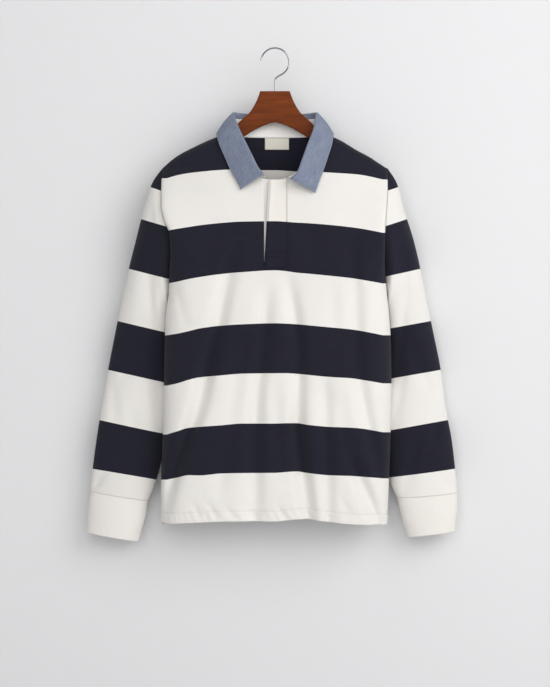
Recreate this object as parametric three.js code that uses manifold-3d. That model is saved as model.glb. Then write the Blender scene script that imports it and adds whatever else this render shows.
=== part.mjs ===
// A long-sleeved rugby shirt hanging on a wooden hanger. Millimetres, +Z up, front towards -Y.
// The origin is the inner top of the hook, where a rail or peg carries the hanger.
import * as THREE from 'three';
import { mergeVertices } from 'three/addons/utils/BufferGeometryUtils.js';
import Module from 'manifold-3d';

const wasm = await Module();
wasm.setup();

// Driving sizes of the cloth.
const CLOTH = 1.6; // wall of the jersey
const SEAM = 0.3; // space between two sewn pieces
const SEAM_HALF = 0.2; // each panel stops this far from the middle plane
const NECK_HALF_WIDTH = 92;
const NECK_SIDE_Z = -157;
const NECK_FRONT_DROP = 87;
const NECK_BACK_DROP = 8;
const NECK_ROUNDNESS = 2.2;
const UNDERARM_Z = -446;
const SHOULDER_TIP_X = 208;
const SHOULDER_TIP_Z = -221;
const RIDGE_RADIUS = 14; // how round the cloth lies over the hanger's arm
const VENT_TOP_Z = -836;
const VENT_BOTTOM_Z = -876;
const VENT_OPEN = 5;

// Driving sizes of the hanger.
const HOOK_RADIUS = 26; // to the middle of the wire
const HOOK_TIP = 174; // turn of the ring's free end, from +X
const HOOK_LEAVE = -52; // turn at which the ring runs into the swan neck
const SWAN_DROP = 15;
const SWAN_REACH = 9;
const WIRE_RADIUS = 1.5;
const RING_SHARE = 0.66; // of the route's steps
const SWAN_SHARE = 0.86;
const HANGER_TOP_Z = -78.6;
const HANGER_THICK = 9.4;
const HANGER_BEVEL = 2.4;
const HANGER_CLEAR = 3.8; // from the ridge's outside to the arm
const ARM_HEIGHT = 25;
const ARM_END = { x: 176, blunt: 3, down: 8 };
const ARM_STEPS = 5;
const HEAD_HALF = 28;
const HEAD_FLARE = { bendX: 36, bendZ: -106, x: 49, z: -121.5 };
const NECK_FLARE = { bendX: 68, bendZ: -139, x: 88, z: -164.5 };
const ARCH = { rootX: 104, bendX: 36, bendZ: -141, crownZ: -135.8 };

// The grid of a panel: columns over half of the neck and one shoulder, rows down to the hem.
const NECK_COLUMNS = 7;
const SHOULDER_COLUMNS = 13;
const BODY_ROWS = 17;
const SIDE_CROWDING = 0.6; // how much closer the columns stand towards the side seams
const SPREAD_RATE = 1.15; // how soon the columns leave their places on the shoulder
const LAST_INSIDE = 0.995; // largest share of the half width short of the side seam
// Turns from the shoulder (0) down to the underarm (180), close together over the ridge.
const ARM_TURNS = [0, 12, 24, 40, 60, 80, 100, 120, 140, 160, 180];

// The ridge of the shoulder, from the neck to past the sleeve head.
const RIDGE = [
  { out: 0, left: -149, right: -149 },
  { out: 92, left: -157, right: -157 },
  { out: 107, left: -163, right: -163 },
  { out: 122, left: -169, right: -170 },
  { out: 150, left: -182, right: -187 },
  { out: 176, left: -195.5, right: -201 },
  { out: 191, left: -206, right: -211 },
  { out: 208, left: -221, right: -222 },
];

// Half widths of the body from the middle to the armhole or the side seam.
const SIDE = [
  { z: -221, left: 208, right: 208 },
  { z: -256, left: 210, right: 208 },
  { z: -290, left: 210, right: 206 },
  { z: -317, left: 205, right: 204 },
  { z: -345, left: 194, right: 202.6 },
  { z: -381, left: 192.4, right: 202.6 },
  { z: -409, left: 195, right: 203.5 },
  { z: -446, left: 196.3, right: 206.5 },
  { z: -502, left: 202.8, right: 212 },
  { z: -557, left: 204.4, right: 215 },
  { z: -613, left: 205.5, right: 215.5 },
  { z: -705, left: 207.4, right: 214 },
  { z: -798, left: 210.8, right: 211 },
  { z: -900, left: 211, right: 206 },
];

// Heights of the hem, which waves under the folds.
const HEM = [
  { x: -211, front: -874, back: -882 },
  { x: -190, front: -875, back: -878 },
  { x: -160, front: -873.5, back: -875 },
  { x: -80, front: -870, back: -874 },
  { x: 0, front: -870, back: -874 },
  { x: 45, front: -866, back: -874 },
  { x: 100, front: -871.5, back: -875 },
  { x: 150, front: -876, back: -876 },
  { x: 206, front: -878, back: -877 },
];

// Depth of the front and back panels in front of and behind the hanger's plane.
const DEPTH = [
  { z: -149, front: 50, back: 42, squareness: 5 },
  { z: -200, front: 52, back: 44, squareness: 4.6 },
  { z: -243, front: 54, back: 45, squareness: 4 },
  { z: -330, front: 54, back: 44, squareness: 4 },
  { z: -446, front: 53, back: 42, squareness: 4.2 },
  { z: -620, front: 52, back: 42, squareness: 4.4 },
  { z: -900, front: 50, back: 40, squareness: 4.4 },
];
const ARMHOLE_DEPTH = { front: 25, back: 22 };
const ARMHOLE_CURVE = { top: 0.8, bottom: 1.6 };
const ARMHOLE_REACH = 8; // power by which the armhole's depth fades into the panel
const DEPTH_REACH = 120; // drop below the ridge over which the body fills out
const DEPTH_CURVE = 1.1;
const EDGE_POWER = 0.42;

// Troughs of the hanging cloth. Each runs down a panel, through rows of place, width and depth.
const FOLDS = {
  front: [
    [
      { z: -300, x: -64, wide: 17, deep: 0 },
      { z: -380, x: -78, wide: 16, deep: 2.5 },
      { z: -450, x: -93, wide: 15, deep: 6 },
      { z: -530, x: -108, wide: 15, deep: 8 },
      { z: -585, x: -123, wide: 15, deep: 9 },
      { z: -660, x: -140, wide: 15, deep: 9 },
      { z: -733, x: -166, wide: 14, deep: 10 },
      { z: -807, x: -192, wide: 13, deep: 9 },
      { z: -860, x: -205, wide: 13, deep: 4 },
    ],
    [
      { z: -425, x: -12, wide: 15, deep: 0 },
      { z: -500, x: -18, wide: 14, deep: 4.5 },
      { z: -560, x: -22, wide: 14, deep: 5 },
      { z: -640, x: -33, wide: 14, deep: 6 },
      { z: -800, x: -37, wide: 14, deep: 7 },
      { z: -880, x: -37, wide: 14, deep: 5 },
    ],
    [
      { z: -410, x: 24, wide: 14, deep: 0 },
      { z: -480, x: 33, wide: 13, deep: 5.5 },
      { z: -560, x: 44, wide: 13, deep: 6 },
      { z: -640, x: 42, wide: 13, deep: 7 },
      { z: -690, x: 41, wide: 13, deep: 9 },
      { z: -807, x: 54, wide: 13, deep: 11 },
      { z: -880, x: 64, wide: 13, deep: 10 },
    ],
    [
      { z: -285, x: 136, wide: 18, deep: 0 },
      { z: -360, x: 142, wide: 16, deep: 2 },
      { z: -440, x: 146, wide: 15, deep: 5 },
      { z: -585, x: 152, wide: 15, deep: 5 },
      { z: -660, x: 163, wide: 14, deep: 6 },
      { z: -760, x: 187, wide: 13, deep: 4 },
      { z: -800, x: 192, wide: 13, deep: 0 },
    ],
    [
      { z: -730, x: 132, wide: 13, deep: 0 },
      { z: -770, x: 146, wide: 13, deep: 5 },
      { z: -850, x: 180, wide: 13, deep: 8 },
      { z: -880, x: 190, wide: 13, deep: 7 },
    ],
    [
      { z: -590, x: 90, wide: 13, deep: 0 },
      { z: -650, x: 92, wide: 13, deep: 4 },
      { z: -880, x: 98, wide: 13, deep: 4 },
    ],
  ],
  back: [
    [
      { z: -330, x: -116, wide: 17, deep: 0 },
      { z: -480, x: -107, wide: 16, deep: 6 },
      { z: -640, x: -98, wide: 16, deep: 7 },
      { z: -880, x: -90, wide: 16, deep: 4 },
    ],
    [
      { z: -430, x: -33, wide: 15, deep: 0 },
      { z: -560, x: -38, wide: 14, deep: 7 },
      { z: -885, x: -48, wide: 14, deep: 8 },
    ],
    [
      { z: -300, x: 55, wide: 17, deep: 0 },
      { z: -450, x: 48, wide: 16, deep: 5 },
      { z: -600, x: 42, wide: 16, deep: 6 },
      { z: -760, x: 37, wide: 16, deep: 0 },
    ],
    [
      { z: -460, x: 115, wide: 16, deep: 0 },
      { z: -600, x: 122, wide: 15, deep: 7 },
      { z: -885, x: 136, wide: 15, deep: 8 },
    ],
  ],
};
const FOLD_START = 150; // no trough reaches closer to the ridge than this
const FOLD_FADE = 60;

// Sleeve rings after the armhole: outer edge, inner edge, middle depth and half depths.
const LEFT_SLEEVE = [
  { ox: -227.2, oz: -247.7, ix: -198.6, iz: -458, y: 3, front: 28, back: 24 },
  { ox: -243.6, oz: -297.4, ix: -199, iz: -470, y: 8, front: 31, back: 26 },
  { ox: -258.3, oz: -352, ix: -199.4, iz: -486, y: 18, front: 33, back: 27 },
  { ox: -272.8, oz: -408.1, ix: -199, iz: -508, y: 24, front: 32, back: 28 },
  { ox: -286.3, oz: -467.4, ix: -198.5, iz: -545, y: 29, front: 31, back: 28 },
  { ox: -300.7, oz: -537.9, ix: -197, iz: -598, y: 32, front: 29, back: 28 },
  { ox: -313.8, oz: -606.6, ix: -197, iz: -650, y: 32, front: 28, back: 27 },
  { ox: -324.8, oz: -671.1, ix: -200, iz: -702, y: 31, front: 28, back: 26 },
  { ox: -334.8, oz: -736.6, ix: -210.8, iz: -759.8, y: 30, front: 27, back: 25 },
  { ox: -341.8, oz: -792, ix: -223.8, iz: -808.1, y: 29, front: 26, back: 24 },
  { ox: -344.7, oz: -820.2, ix: -236.9, iz: -838.3, y: 28, front: 24, back: 22 },
];
const RIGHT_SLEEVE = [
  { ox: 225.2, oz: -247.7, ix: 208.8, iz: -458, y: 3, front: 28, back: 24 },
  { ox: 239.5, oz: -297.4, ix: 209.2, iz: -470, y: 8, front: 31, back: 26 },
  { ox: 258.3, oz: -355, ix: 210.6, iz: -486, y: 18, front: 33, back: 27 },
  { ox: 271.9, oz: -411.1, ix: 211.5, iz: -508, y: 25, front: 32, back: 28 },
  { ox: 283.5, oz: -467.3, ix: 210.5, iz: -545, y: 31, front: 31, back: 28 },
  { ox: 296.7, oz: -529.9, ix: 208, iz: -598, y: 33, front: 29, back: 28 },
  { ox: 309.9, oz: -596.5, ix: 206, iz: -650, y: 33, front: 28, back: 27 },
  { ox: 318.8, oz: -666.1, ix: 204, iz: -702, y: 31, front: 28, back: 26 },
  { ox: 329.8, oz: -725.5, ix: 208.8, iz: -759.8, y: 30, front: 27, back: 25 },
  { ox: 336.2, oz: -781.9, ix: 215.8, iz: -806.1, y: 29, front: 26, back: 24 },
  { ox: 339.4, oz: -824, ix: 227.8, iz: -833.3, y: 28, front: 24, back: 22 },
];

const HEAD_FADE = [0.62, 0.3, 0.1]; // share of the armhole's shape that the next rings keep
const RIB = CLOTH + 0.2; // wall of the cuffs

// Cuff rings: the seam with the sleeve, and the open bottom.
const LEFT_CUFF = [
  { ox: -344.9, oz: -820.7, ix: -237, iz: -838.8, y: 28, front: 24.4, back: 22.4 },
  { ox: -347.6, oz: -847.3, ix: -240.8, iz: -864.4, y: 27, front: 25, back: 23 },
  { ox: -349.6, oz: -872.4, ix: -247.8, iz: -890.5, y: 26, front: 24, back: 22 },
  { ox: -351.3, oz: -896.6, ix: -253.9, iz: -913.7, y: 26, front: 23, back: 21 },
];
const RIGHT_CUFF = [
  { ox: 339.5, oz: -824.5, ix: 227.9, iz: -833.8, y: 28, front: 24.4, back: 22.4 },
  { ox: 339.6, oz: -848.3, ix: 233.8, iz: -859.4, y: 27, front: 25, back: 23 },
  { ox: 337.5, oz: -871.4, ix: 239.8, iz: -882.5, y: 26, front: 24, back: 22 },
  { ox: 335.5, oz: -894.6, ix: 246.3, iz: -905.6, y: 26, front: 23, back: 21 },
];

// Collar stations from a front end round to the middle of the back.
// around is the angle at the neck seam, fold is the turned edge and edge is the leaf's free edge.
const LEFT_COLLAR = [
  { around: 10, fx: -19, fz: -237, fy: -60, ex: -63, ez: -264 },
  { around: 22, fx: -30, fz: -222, fy: -58, ex: -70, ez: -249 },
  { around: 36, fx: -41, fz: -199, fy: -53, ex: -80, ez: -231 },
  { around: 52, fx: -56, fz: -168, fy: -42, ex: -92, ez: -204 },
  { around: 70, fx: -68, fz: -140, fy: -27, ex: -103, ez: -178 },
  { around: 88, fx: -73, fz: -121, fy: -8, ex: -109, ez: -157.5 },
  { around: 112, fx: -67, fz: -117, fy: 12, ex: -98, ez: -172 },
  { around: 146, fx: -36, fz: -117, fy: 24, ex: -54, ez: -184 },
  { around: 180, fx: 0, fz: -117, fy: 28, ex: 0, ez: -187 },
];
const RIGHT_COLLAR = [
  { around: 13, fx: 29, fz: -247, fy: -64, ex: 74, ez: -270 },
  { around: 24, fx: 40, fz: -232, fy: -62, ex: 81, ez: -249 },
  { around: 37, fx: 49, fz: -206, fy: -56, ex: 89, ez: -228 },
  { around: 52, fx: 58, fz: -180, fy: -46, ex: 97, ez: -204 },
  { around: 70, fx: 69, fz: -150, fy: -31, ex: 105, ez: -178 },
  { around: 88, fx: 74, fz: -122, fy: -9, ex: 109, ez: -157.5 },
  { around: 112, fx: 68, fz: -117, fy: 12, ex: 98, ez: -172 },
  { around: 146, fx: 36, fz: -117, fy: 24, ex: 54, ez: -184 },
  { around: 180, fx: 0, fz: -117, fy: 28, ex: 0, ez: -187 },
];
const COLLAR_STEPS = 26;
const COLLAR_LIFT = 6; // the free edge lies this far off the panel
const COLLAR_BULGE = 0.06; // of the fall's length
const COLLAR_FALL = [0, 0.35, 0.7, 1];
const COLLAR_TURNS = [50, 90, 130];
const FOLD_RADIUS = 3.2; // outside of the turned edge
const INSIDE_TURN = 12; // chambray that shows inside, below the fold
const INSIDE_SHARE = 0.55; // of the rise, where the rise is short
const BAND_RISE = 1.6; // the band starts this far inside the neck seam

// The slit of the front and the strips that close it.
const SLIT = { left: -20, right: 14, bottom: -396 };
const CUTTER_DEPTH = 200;
const OVER_PLACKET = { leftTop: -11, leftBottom: -20, right: 24, bottom: -406 };
const UNDER_PLACKET = { left: -26, right: 12, bottom: -402 };
const STRIP = 1.3; // thickness of a placket strip
const STRIP_TOP = 1; // a strip starts this far below the neck seam
const LABEL = { left: -18.9, right: 25.9, top: -164, bottom: -185, thick: 1 };

const lerp = (a, b, t) => a + (b - a) * t;
const clamp = (v, lo, hi) => Math.min(hi, Math.max(lo, v));
const degrees = (a) => (a * Math.PI) / 180;
const smooth = (t) => t * t * (3 - 2 * t);

// A value read from a table by a smooth curve through its rows.
function read(table, key, name, at) {
  const sign = table[table.length - 1][key] > table[0][key] ? 1 : -1;
  const last = table.length - 1;
  const place = clamp(at * sign, table[0][key] * sign, table[last][key] * sign);
  let i = 0;
  while (i < last - 1 && table[i + 1][key] * sign < place) i += 1;
  const gap = (k) => (table[k + 1][key] - table[k][key]) * sign;
  const slope = (k) => (table[k + 1][name] - table[k][name]) / gap(k);
  const tangent = (k) => {
    if (k === 0) return slope(0);
    if (k === last) return slope(last - 1);
    if (slope(k - 1) * slope(k) <= 0) return 0;
    return (2 * slope(k - 1) * slope(k)) / (slope(k - 1) + slope(k));
  };
  const h = gap(i);
  const t = (place - table[i][key] * sign) / h;
  const rise = table[i + 1][name] - table[i][name];
  const a = tangent(i) * h - rise;
  const b = rise - tangent(i + 1) * h;
  return table[i][name] + rise * t + t * (1 - t) * (a * (1 - t) + b * t);
}

const ridgeAt = (x) => read(RIDGE, 'out', x < 0 ? 'left' : 'right', Math.abs(x));
const sideAt = (side, z) => read(SIDE, 'z', side < 0 ? 'left' : 'right', z);

// How far down the armhole a height lies, from 0 at the shoulder to 1 at the underarm.
const armholeShare = (z) => clamp((SHOULDER_TIP_Z - z) / (SHOULDER_TIP_Z - UNDERARM_Z), 0, 1);

// The armhole's half depth: round at the shoulder, and running out softly at the underarm.
function armholeDepth(face, share) {
  const curve = share < 0.5 ? ARMHOLE_CURVE.top : ARMHOLE_CURVE.bottom;
  return ARMHOLE_DEPTH[face] * Math.sin(Math.PI * share) ** curve;
}

// The depth of all troughs at a place on a panel. They are level with the cloth above their first row.
function foldDepth(face, x, z) {
  let sum = 0;
  for (const rows of FOLDS[face]) {
    const away = (x - read(rows, 'z', 'x', z)) / read(rows, 'z', 'wide', z);
    sum += read(rows, 'z', 'deep', z) * Math.exp(-away * away);
  }
  return sum;
}

// Distance of a panel's outer surface from the hanger's plane.
function panelDepth(face, x, z) {
  const w = sideAt(x, z);
  const share = Math.min(1, Math.abs(x) / w);
  const square = read(DEPTH, 'z', 'squareness', z);
  const section = (1 - share ** square) ** EDGE_POWER;
  const drop = Math.max(0, ridgeAt(clamp(x, -SHOULDER_TIP_X, SHOULDER_TIP_X)) - z);
  const round = 1 - Math.min(1, drop / RIDGE_RADIUS);
  const ridge = RIDGE_RADIUS * Math.sqrt(1 - round * round);
  const fill = 1 - Math.exp(-((drop / DEPTH_REACH) ** DEPTH_CURVE));
  const full = read(DEPTH, 'z', face, z);
  const edge = armholeDepth(face, armholeShare(z)) * share ** ARMHOLE_REACH;
  const fade = section * clamp((ridgeAt(0) - z - FOLD_START) / FOLD_FADE, 0, 1);
  return section * (ridge + (full - RIDGE_RADIUS) * fill) + edge - fade * foldDepth(face, x, z);
}

const faceSign = (face) => (face === 'front' ? -1 : 1);
const onPanel = (face, x, z, out = 0) =>
  new THREE.Vector3(x, faceSign(face) * (panelDepth(face, x, z) + out), z);

// The neck seam, by the angle from the middle of the front round to the middle of the back.
function neckSeam(side, around) {
  const a = degrees(around);
  const face = around <= 90 ? 'front' : 'back';
  const power = 2 / NECK_ROUNDNESS;
  const x = side * NECK_HALF_WIDTH * Math.abs(Math.sin(a)) ** power;
  const drop = (around <= 90 ? NECK_FRONT_DROP : NECK_BACK_DROP) * Math.abs(Math.cos(a)) ** power;
  return { face, x, z: NECK_SIDE_Z - drop };
}

// A closed body from a grid of outer points and the matching grid of inner points.
function wall(outer, inner, ringed = false) {
  const rows = outer.length;
  const columns = outer[0].length;
  const points = [];
  for (const grid of [outer, inner]) {
    for (const row of grid) {
      for (const p of row) points.push(p.x, p.y, p.z);
    }
  }
  const at = (layer, r, c) => layer * rows * columns + r * columns + (c % columns);
  const index = [];
  const quad = (a, b, c, d) => index.push(a, b, c, a, c, d);
  const spans = ringed ? columns : columns - 1;
  for (let r = 0; r < rows - 1; r += 1) {
    for (let c = 0; c < spans; c += 1) {
      quad(at(0, r, c), at(0, r + 1, c), at(0, r + 1, c + 1), at(0, r, c + 1));
      quad(at(1, r, c), at(1, r, c + 1), at(1, r + 1, c + 1), at(1, r + 1, c));
    }
  }
  for (let c = 0; c < spans; c += 1) {
    quad(at(0, 0, c), at(0, 0, c + 1), at(1, 0, c + 1), at(1, 0, c));
    quad(at(0, rows - 1, c), at(1, rows - 1, c), at(1, rows - 1, c + 1), at(0, rows - 1, c + 1));
  }
  if (!ringed) {
    const end = columns - 1;
    for (let r = 0; r < rows - 1; r += 1) {
      quad(at(0, r, 0), at(1, r, 0), at(1, r + 1, 0), at(0, r + 1, 0));
      quad(at(0, r, end), at(0, r + 1, end), at(1, r + 1, end), at(1, r, end));
    }
  }
  return facingOut(points, index);
}

function facingOut(points, index) {
  const p = (i) => new THREE.Vector3().fromArray(points, 3 * i);
  let volume = 0;
  for (let i = 0; i < index.length; i += 3) {
    volume += p(index[i]).dot(p(index[i + 1]).cross(p(index[i + 2])));
  }
  if (volume < 0) index.reverse();
  const geometry = new THREE.BufferGeometry();
  geometry.setAttribute('position', new THREE.Float32BufferAttribute(points, 3));
  geometry.setIndex(index);
  geometry.computeVertexNormals();
  return geometry;
}

// The unit normal at each point of a grid, by the cross product of its two directions.
function normalsOf(grid, ringed = false) {
  const rows = grid.length;
  const columns = grid[0].length;
  const column = (c) => (ringed ? (c + columns) % columns : clamp(c, 0, columns - 1));
  return grid.map((row, r) =>
    row.map((_, c) => {
      const across = new THREE.Vector3().subVectors(row[column(c + 1)], row[column(c - 1)]);
      const up = grid[Math.max(0, r - 1)][c];
      const down = new THREE.Vector3().subVectors(grid[Math.min(rows - 1, r + 1)][c], up);
      return across.cross(down).normalize();
    }),
  );
}

const shifted = (grid, normals, by) =>
  grid.map((row, r) => row.map((p, c) => p.clone().addScaledVector(normals[r][c], by)));

// Columns of a panel from the left side to the right, each with its place along the top edge.
function panelColumns(face) {
  const half = [];
  for (let i = 0; i <= NECK_COLUMNS; i += 1) {
    const turn = (90 * i) / NECK_COLUMNS;
    const seam = neckSeam(1, face === 'front' ? turn : 180 - turn);
    half.push({ x: seam.x, z: seam.z, neck: true });
  }
  for (let i = 1; i <= SHOULDER_COLUMNS; i += 1) {
    half.push({ x: lerp(NECK_HALF_WIDTH, SHOULDER_TIP_X, i / SHOULDER_COLUMNS), neck: false });
  }
  const count = half.length - 1;
  const columns = [];
  for (let i = -count; i <= count; i += 1) {
    const c = half[Math.abs(i)];
    const x = i < 0 ? -c.x : c.x;
    const place = Math.abs(i) / count;
    const section = lerp(place, Math.sin((Math.PI / 2) * place), SIDE_CROWDING);
    const z = c.neck ? c.z : ridgeAt(x);
    columns.push({ side: i < 0 ? -1 : 1, x, z, section, edge: place === 1 });
  }
  return columns;
}

// Shares of a row's drop: the armhole's rows by a cosine, then even rows to the hem.
function panelRows() {
  const rows = [];
  for (const turn of ARM_TURNS) rows.push({ arm: (1 - Math.cos(degrees(turn))) / 2, body: 0 });
  for (let r = 1; r <= BODY_ROWS; r += 1) rows.push({ arm: 1, body: r / BODY_ROWS });
  return rows;
}

// How far along the panel's width a column lies on a row, as a share of the half width.
function columnShare(column, row) {
  if (column.edge) return 1;
  const spread = smooth(Math.min(1, row.arm * SPREAD_RATE));
  const share = lerp(Math.abs(column.x) / SHOULDER_TIP_X, column.section, spread);
  return Math.min(share, LAST_INSIDE);
}

// Outer points of the front or back panel.
function panelGrid(face) {
  return panelRows().map((row) =>
    panelColumns(face).map((column) => {
      const top = column.edge ? SHOULDER_TIP_Z : column.z;
      const share = columnShare(column, row);
      const hem = read(HEM, 'x', face, column.side * share * SHOULDER_TIP_X);
      const z = lerp(lerp(top, UNDERARM_Z, row.arm), hem, row.body);
      const p = onPanel(face, column.side * share * sideAt(column.side, z), z);
      const vent = clamp((VENT_TOP_Z - z) / (VENT_TOP_Z - VENT_BOTTOM_Z), 0, 1);
      if (column.edge && vent > 0) p.y = faceSign(face) * VENT_OPEN * vent;
      return p;
    }),
  );
}

// Panels end beside the middle plane, so the shoulder and side seams stay parted.
function keepSide(face, grid, by) {
  for (const row of grid) {
    for (const p of row) {
      if (face === 'front') p.y = Math.min(p.y, -by);
      else p.y = Math.max(p.y, by);
    }
  }
  return grid;
}

function panelWall(face) {
  const outer = panelGrid(face);
  const normals = normalsOf(outer);
  const row = normals[Math.floor(normals.length / 2)];
  const middle = row[Math.floor(row.length / 2)];
  const outward = Math.sign(middle.y) === faceSign(face) ? 1 : -1;
  const inner = shifted(outer, normals, -outward * CLOTH);
  return wall(keepSide(face, outer, SEAM_HALF), keepSide(face, inner, SEAM_HALF));
}

// Steps round a sleeve: from the shoulder down the front to the underarm and up the back.
function ringAngles() {
  const back = ARM_TURNS.slice(1, -1).reverse().map((turn) => 360 - turn);
  return [...ARM_TURNS, ...back].map(degrees);
}

// The armhole's curve, which the sleeve's first ring follows just outside the panels.
function armholeRing(side, out) {
  return ringAngles().map((a) => {
    const share = (1 - Math.cos(a)) / 2;
    const z = lerp(SHOULDER_TIP_Z, UNDERARM_Z, share);
    const face = a < Math.PI ? 'front' : 'back';
    const y = faceSign(face) * Math.max(armholeDepth(face, share), SEAM_HALF);
    return new THREE.Vector3(side * (sideAt(side, z) + out), y, z);
  });
}

// An oval ring between an outer and an inner edge.
function ovalRing(row) {
  return ringAngles().map((a) => {
    const share = (1 - Math.cos(a)) / 2;
    const half = a < Math.PI ? row.front : row.back;
    const y = row.y - Math.sin(a) * half;
    return new THREE.Vector3(lerp(row.ox, row.ix, share), y, lerp(row.oz, row.iz, share));
  });
}

function sleeveGrid(side, table) {
  const start = armholeRing(side, SEAM);
  const first = ovalRing({
    ox: start[0].x,
    oz: start[0].z,
    ix: start[ARM_TURNS.length - 1].x,
    iz: start[ARM_TURNS.length - 1].z,
    y: 0,
    ...ARMHOLE_DEPTH,
  });
  const extra = start.map((p, i) => new THREE.Vector3().subVectors(p, first[i]));
  const rings = [start];
  table.forEach((row, k) => {
    const ring = ovalRing(row);
    if (k < HEAD_FADE.length) ring.forEach((p, i) => p.addScaledVector(extra[i], HEAD_FADE[k]));
    rings.push(ring);
  });
  return rings;
}

// The inner side of a tube: each point moved towards the ring's own inside.
function tubeWall(grid, thick) {
  const normals = normalsOf(grid, true);
  const centre = grid[1].reduce((s, p) => s.add(p), new THREE.Vector3()).divideScalar(grid[1].length);
  const outward = new THREE.Vector3().subVectors(grid[1][0], centre).dot(normals[1][0]) > 0 ? 1 : -1;
  return wall(grid, shifted(grid, normals, -outward * thick), true);
}

function sleeveWall(side, table) {
  const grid = sleeveGrid(side, table);
  const normals = normalsOf(grid, true);
  const outward = Math.sign(normals[4][0].x) === side ? 1 : -1;
  const inner = shifted(grid, normals, -outward * CLOTH);
  // At the armhole the wall's thickness points to the middle of the ring, clear of the panels.
  const first = grid[0];
  const middle = first.reduce((s, p) => s.add(p), new THREE.Vector3()).divideScalar(first.length);
  inner[0] = first.map((p) => {
    const towards = new THREE.Vector3(0, middle.y - p.y, middle.z - p.z).normalize();
    return p.clone().addScaledVector(towards, CLOTH);
  });
  return wall(grid, inner, true);
}

const cuffWall = (table) => tubeWall(table.map(ovalRing), RIB);

// Collar stations as one list from the left front end to the right front end.
function collarStations() {
  const stations = [];
  const half = COLLAR_STEPS / 2;
  const crown = NECK_SIDE_Z + 40; // the seam's inner side faces this height
  for (let i = 0; i <= COLLAR_STEPS; i += 1) {
    const side = i <= half ? -1 : 1;
    const table = side < 0 ? LEFT_COLLAR : RIGHT_COLLAR;
    const around = lerp(180, table[0].around, Math.abs(i - half) / half);
    const value = (name) => read(table, 'around', name, around);
    const seam = neckSeam(side, around);
    const inward = new THREE.Vector2(-seam.x, crown - seam.z).setLength(BAND_RISE);
    stations.push({
      seam: onPanel(seam.face, seam.x + inward.x, seam.z + inward.y, -1),
      fold: new THREE.Vector3(value('fx'), value('fy'), value('fz')),
      edge: onPanel(around < 89 ? 'front' : 'back', value('ex'), value('ez'), COLLAR_LIFT),
    });
  }
  return stations;
}

// How much of the rise from the seam to the fold is chambray.
const insideTurn = (rise) => Math.min(INSIDE_TURN, rise.length() * INSIDE_SHARE);

// One section of the leaf: up the inside, round the turned edge and down to the free edge.
function leafSection(station) {
  const { seam, fold, edge } = station;
  const rise = new THREE.Vector3().subVectors(fold, seam);
  const inside = insideTurn(rise);
  rise.normalize();
  const fall = new THREE.Vector3().subVectors(edge, fold).normalize();
  const apart = new THREE.Vector3().subVectors(fall, rise.clone().negate());
  const outward = apart.addScaledVector(rise, -apart.dot(rise)).normalize();
  const start = fold.clone().addScaledVector(rise, -inside);
  const points = [start, fold.clone().addScaledVector(rise, -FOLD_RADIUS)];
  const centre = points[1].clone().addScaledVector(outward, FOLD_RADIUS);
  for (const turn of COLLAR_TURNS) {
    const a = degrees(turn);
    const p = centre.clone().addScaledVector(outward, -FOLD_RADIUS * Math.cos(a));
    points.push(p.addScaledVector(rise, FOLD_RADIUS * Math.sin(a)));
  }
  const from = centre.clone().addScaledVector(outward, FOLD_RADIUS);
  const length = from.distanceTo(edge);
  for (const t of COLLAR_FALL) {
    const p = from.clone().lerp(edge, t);
    points.push(p.addScaledVector(outward, COLLAR_BULGE * length * Math.sin(Math.PI * t)));
  }
  return points;
}

function collarWall() {
  const outer = collarStations().map(leafSection);
  const normals = normalsOf(outer);
  const middle = Math.floor(outer.length / 2);
  const last = outer[0].length - 1;
  const sign = normals[middle][last].y > 0 ? 1 : -1;
  return wall(outer, shifted(outer, normals, -sign * CLOTH));
}

// The white band: from the neck seam up to the chambray inside the fold.
function bandWall() {
  const outer = collarStations().map(({ seam, fold }) => {
    const rise = new THREE.Vector3().subVectors(fold, seam);
    const inside = insideTurn(rise) + SEAM;
    const top = fold.clone().addScaledVector(rise.normalize(), -inside);
    return [0, 0.5, 1].map((t) => seam.clone().lerp(top, t));
  });
  const normals = normalsOf(outer);
  const middle = Math.floor(outer.length / 2);
  const sign = normals[middle][1].y > 0 ? 1 : -1;
  return wall(outer, shifted(outer, normals, -sign * CLOTH));
}

// A strip that lies over or under the front: rows down the slit, made from the panel's points.
function stripWall(face, top, bottom, leftAt, rightAt, out, thick, columns = 4, rows = 9) {
  const grid = (offset) => {
    const lines = [];
    for (let r = 0; r <= rows; r += 1) {
      const z = (x) => lerp(top(x), bottom, r / rows);
      const line = [];
      for (let c = 0; c <= columns; c += 1) {
        const x = lerp(leftAt(r / rows), rightAt(r / rows), c / columns);
        line.push(onPanel(face, x, z(x), offset));
      }
      lines.push(line);
    }
    return lines;
  };
  return wall(grid(out + thick), grid(out));
}

const neckTop = (x) => {
  const share = Math.min(1, Math.abs(x) / NECK_HALF_WIDTH);
  return NECK_SIDE_Z - NECK_FRONT_DROP * (1 - share ** NECK_ROUNDNESS) ** (1 / NECK_ROUNDNESS);
};

const overPlacket = () =>
  stripWall(
    'front',
    (x) => neckTop(x) - STRIP_TOP,
    OVER_PLACKET.bottom,
    (t) => lerp(OVER_PLACKET.leftTop, OVER_PLACKET.leftBottom, t),
    () => OVER_PLACKET.right,
    SEAM * 2,
    STRIP,
  );

const underPlacket = () =>
  stripWall(
    'front',
    (x) => neckTop(x) - STRIP_TOP,
    UNDER_PLACKET.bottom,
    () => UNDER_PLACKET.left,
    () => UNDER_PLACKET.right,
    -CLOTH - SEAM * 3 - STRIP,
    STRIP,
  );

const label = () =>
  stripWall(
    'back',
    () => LABEL.top,
    LABEL.bottom,
    () => LABEL.left,
    () => LABEL.right,
    -CLOTH - SEAM * 2 - LABEL.thick,
    LABEL.thick,
    4,
    3,
  );

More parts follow.
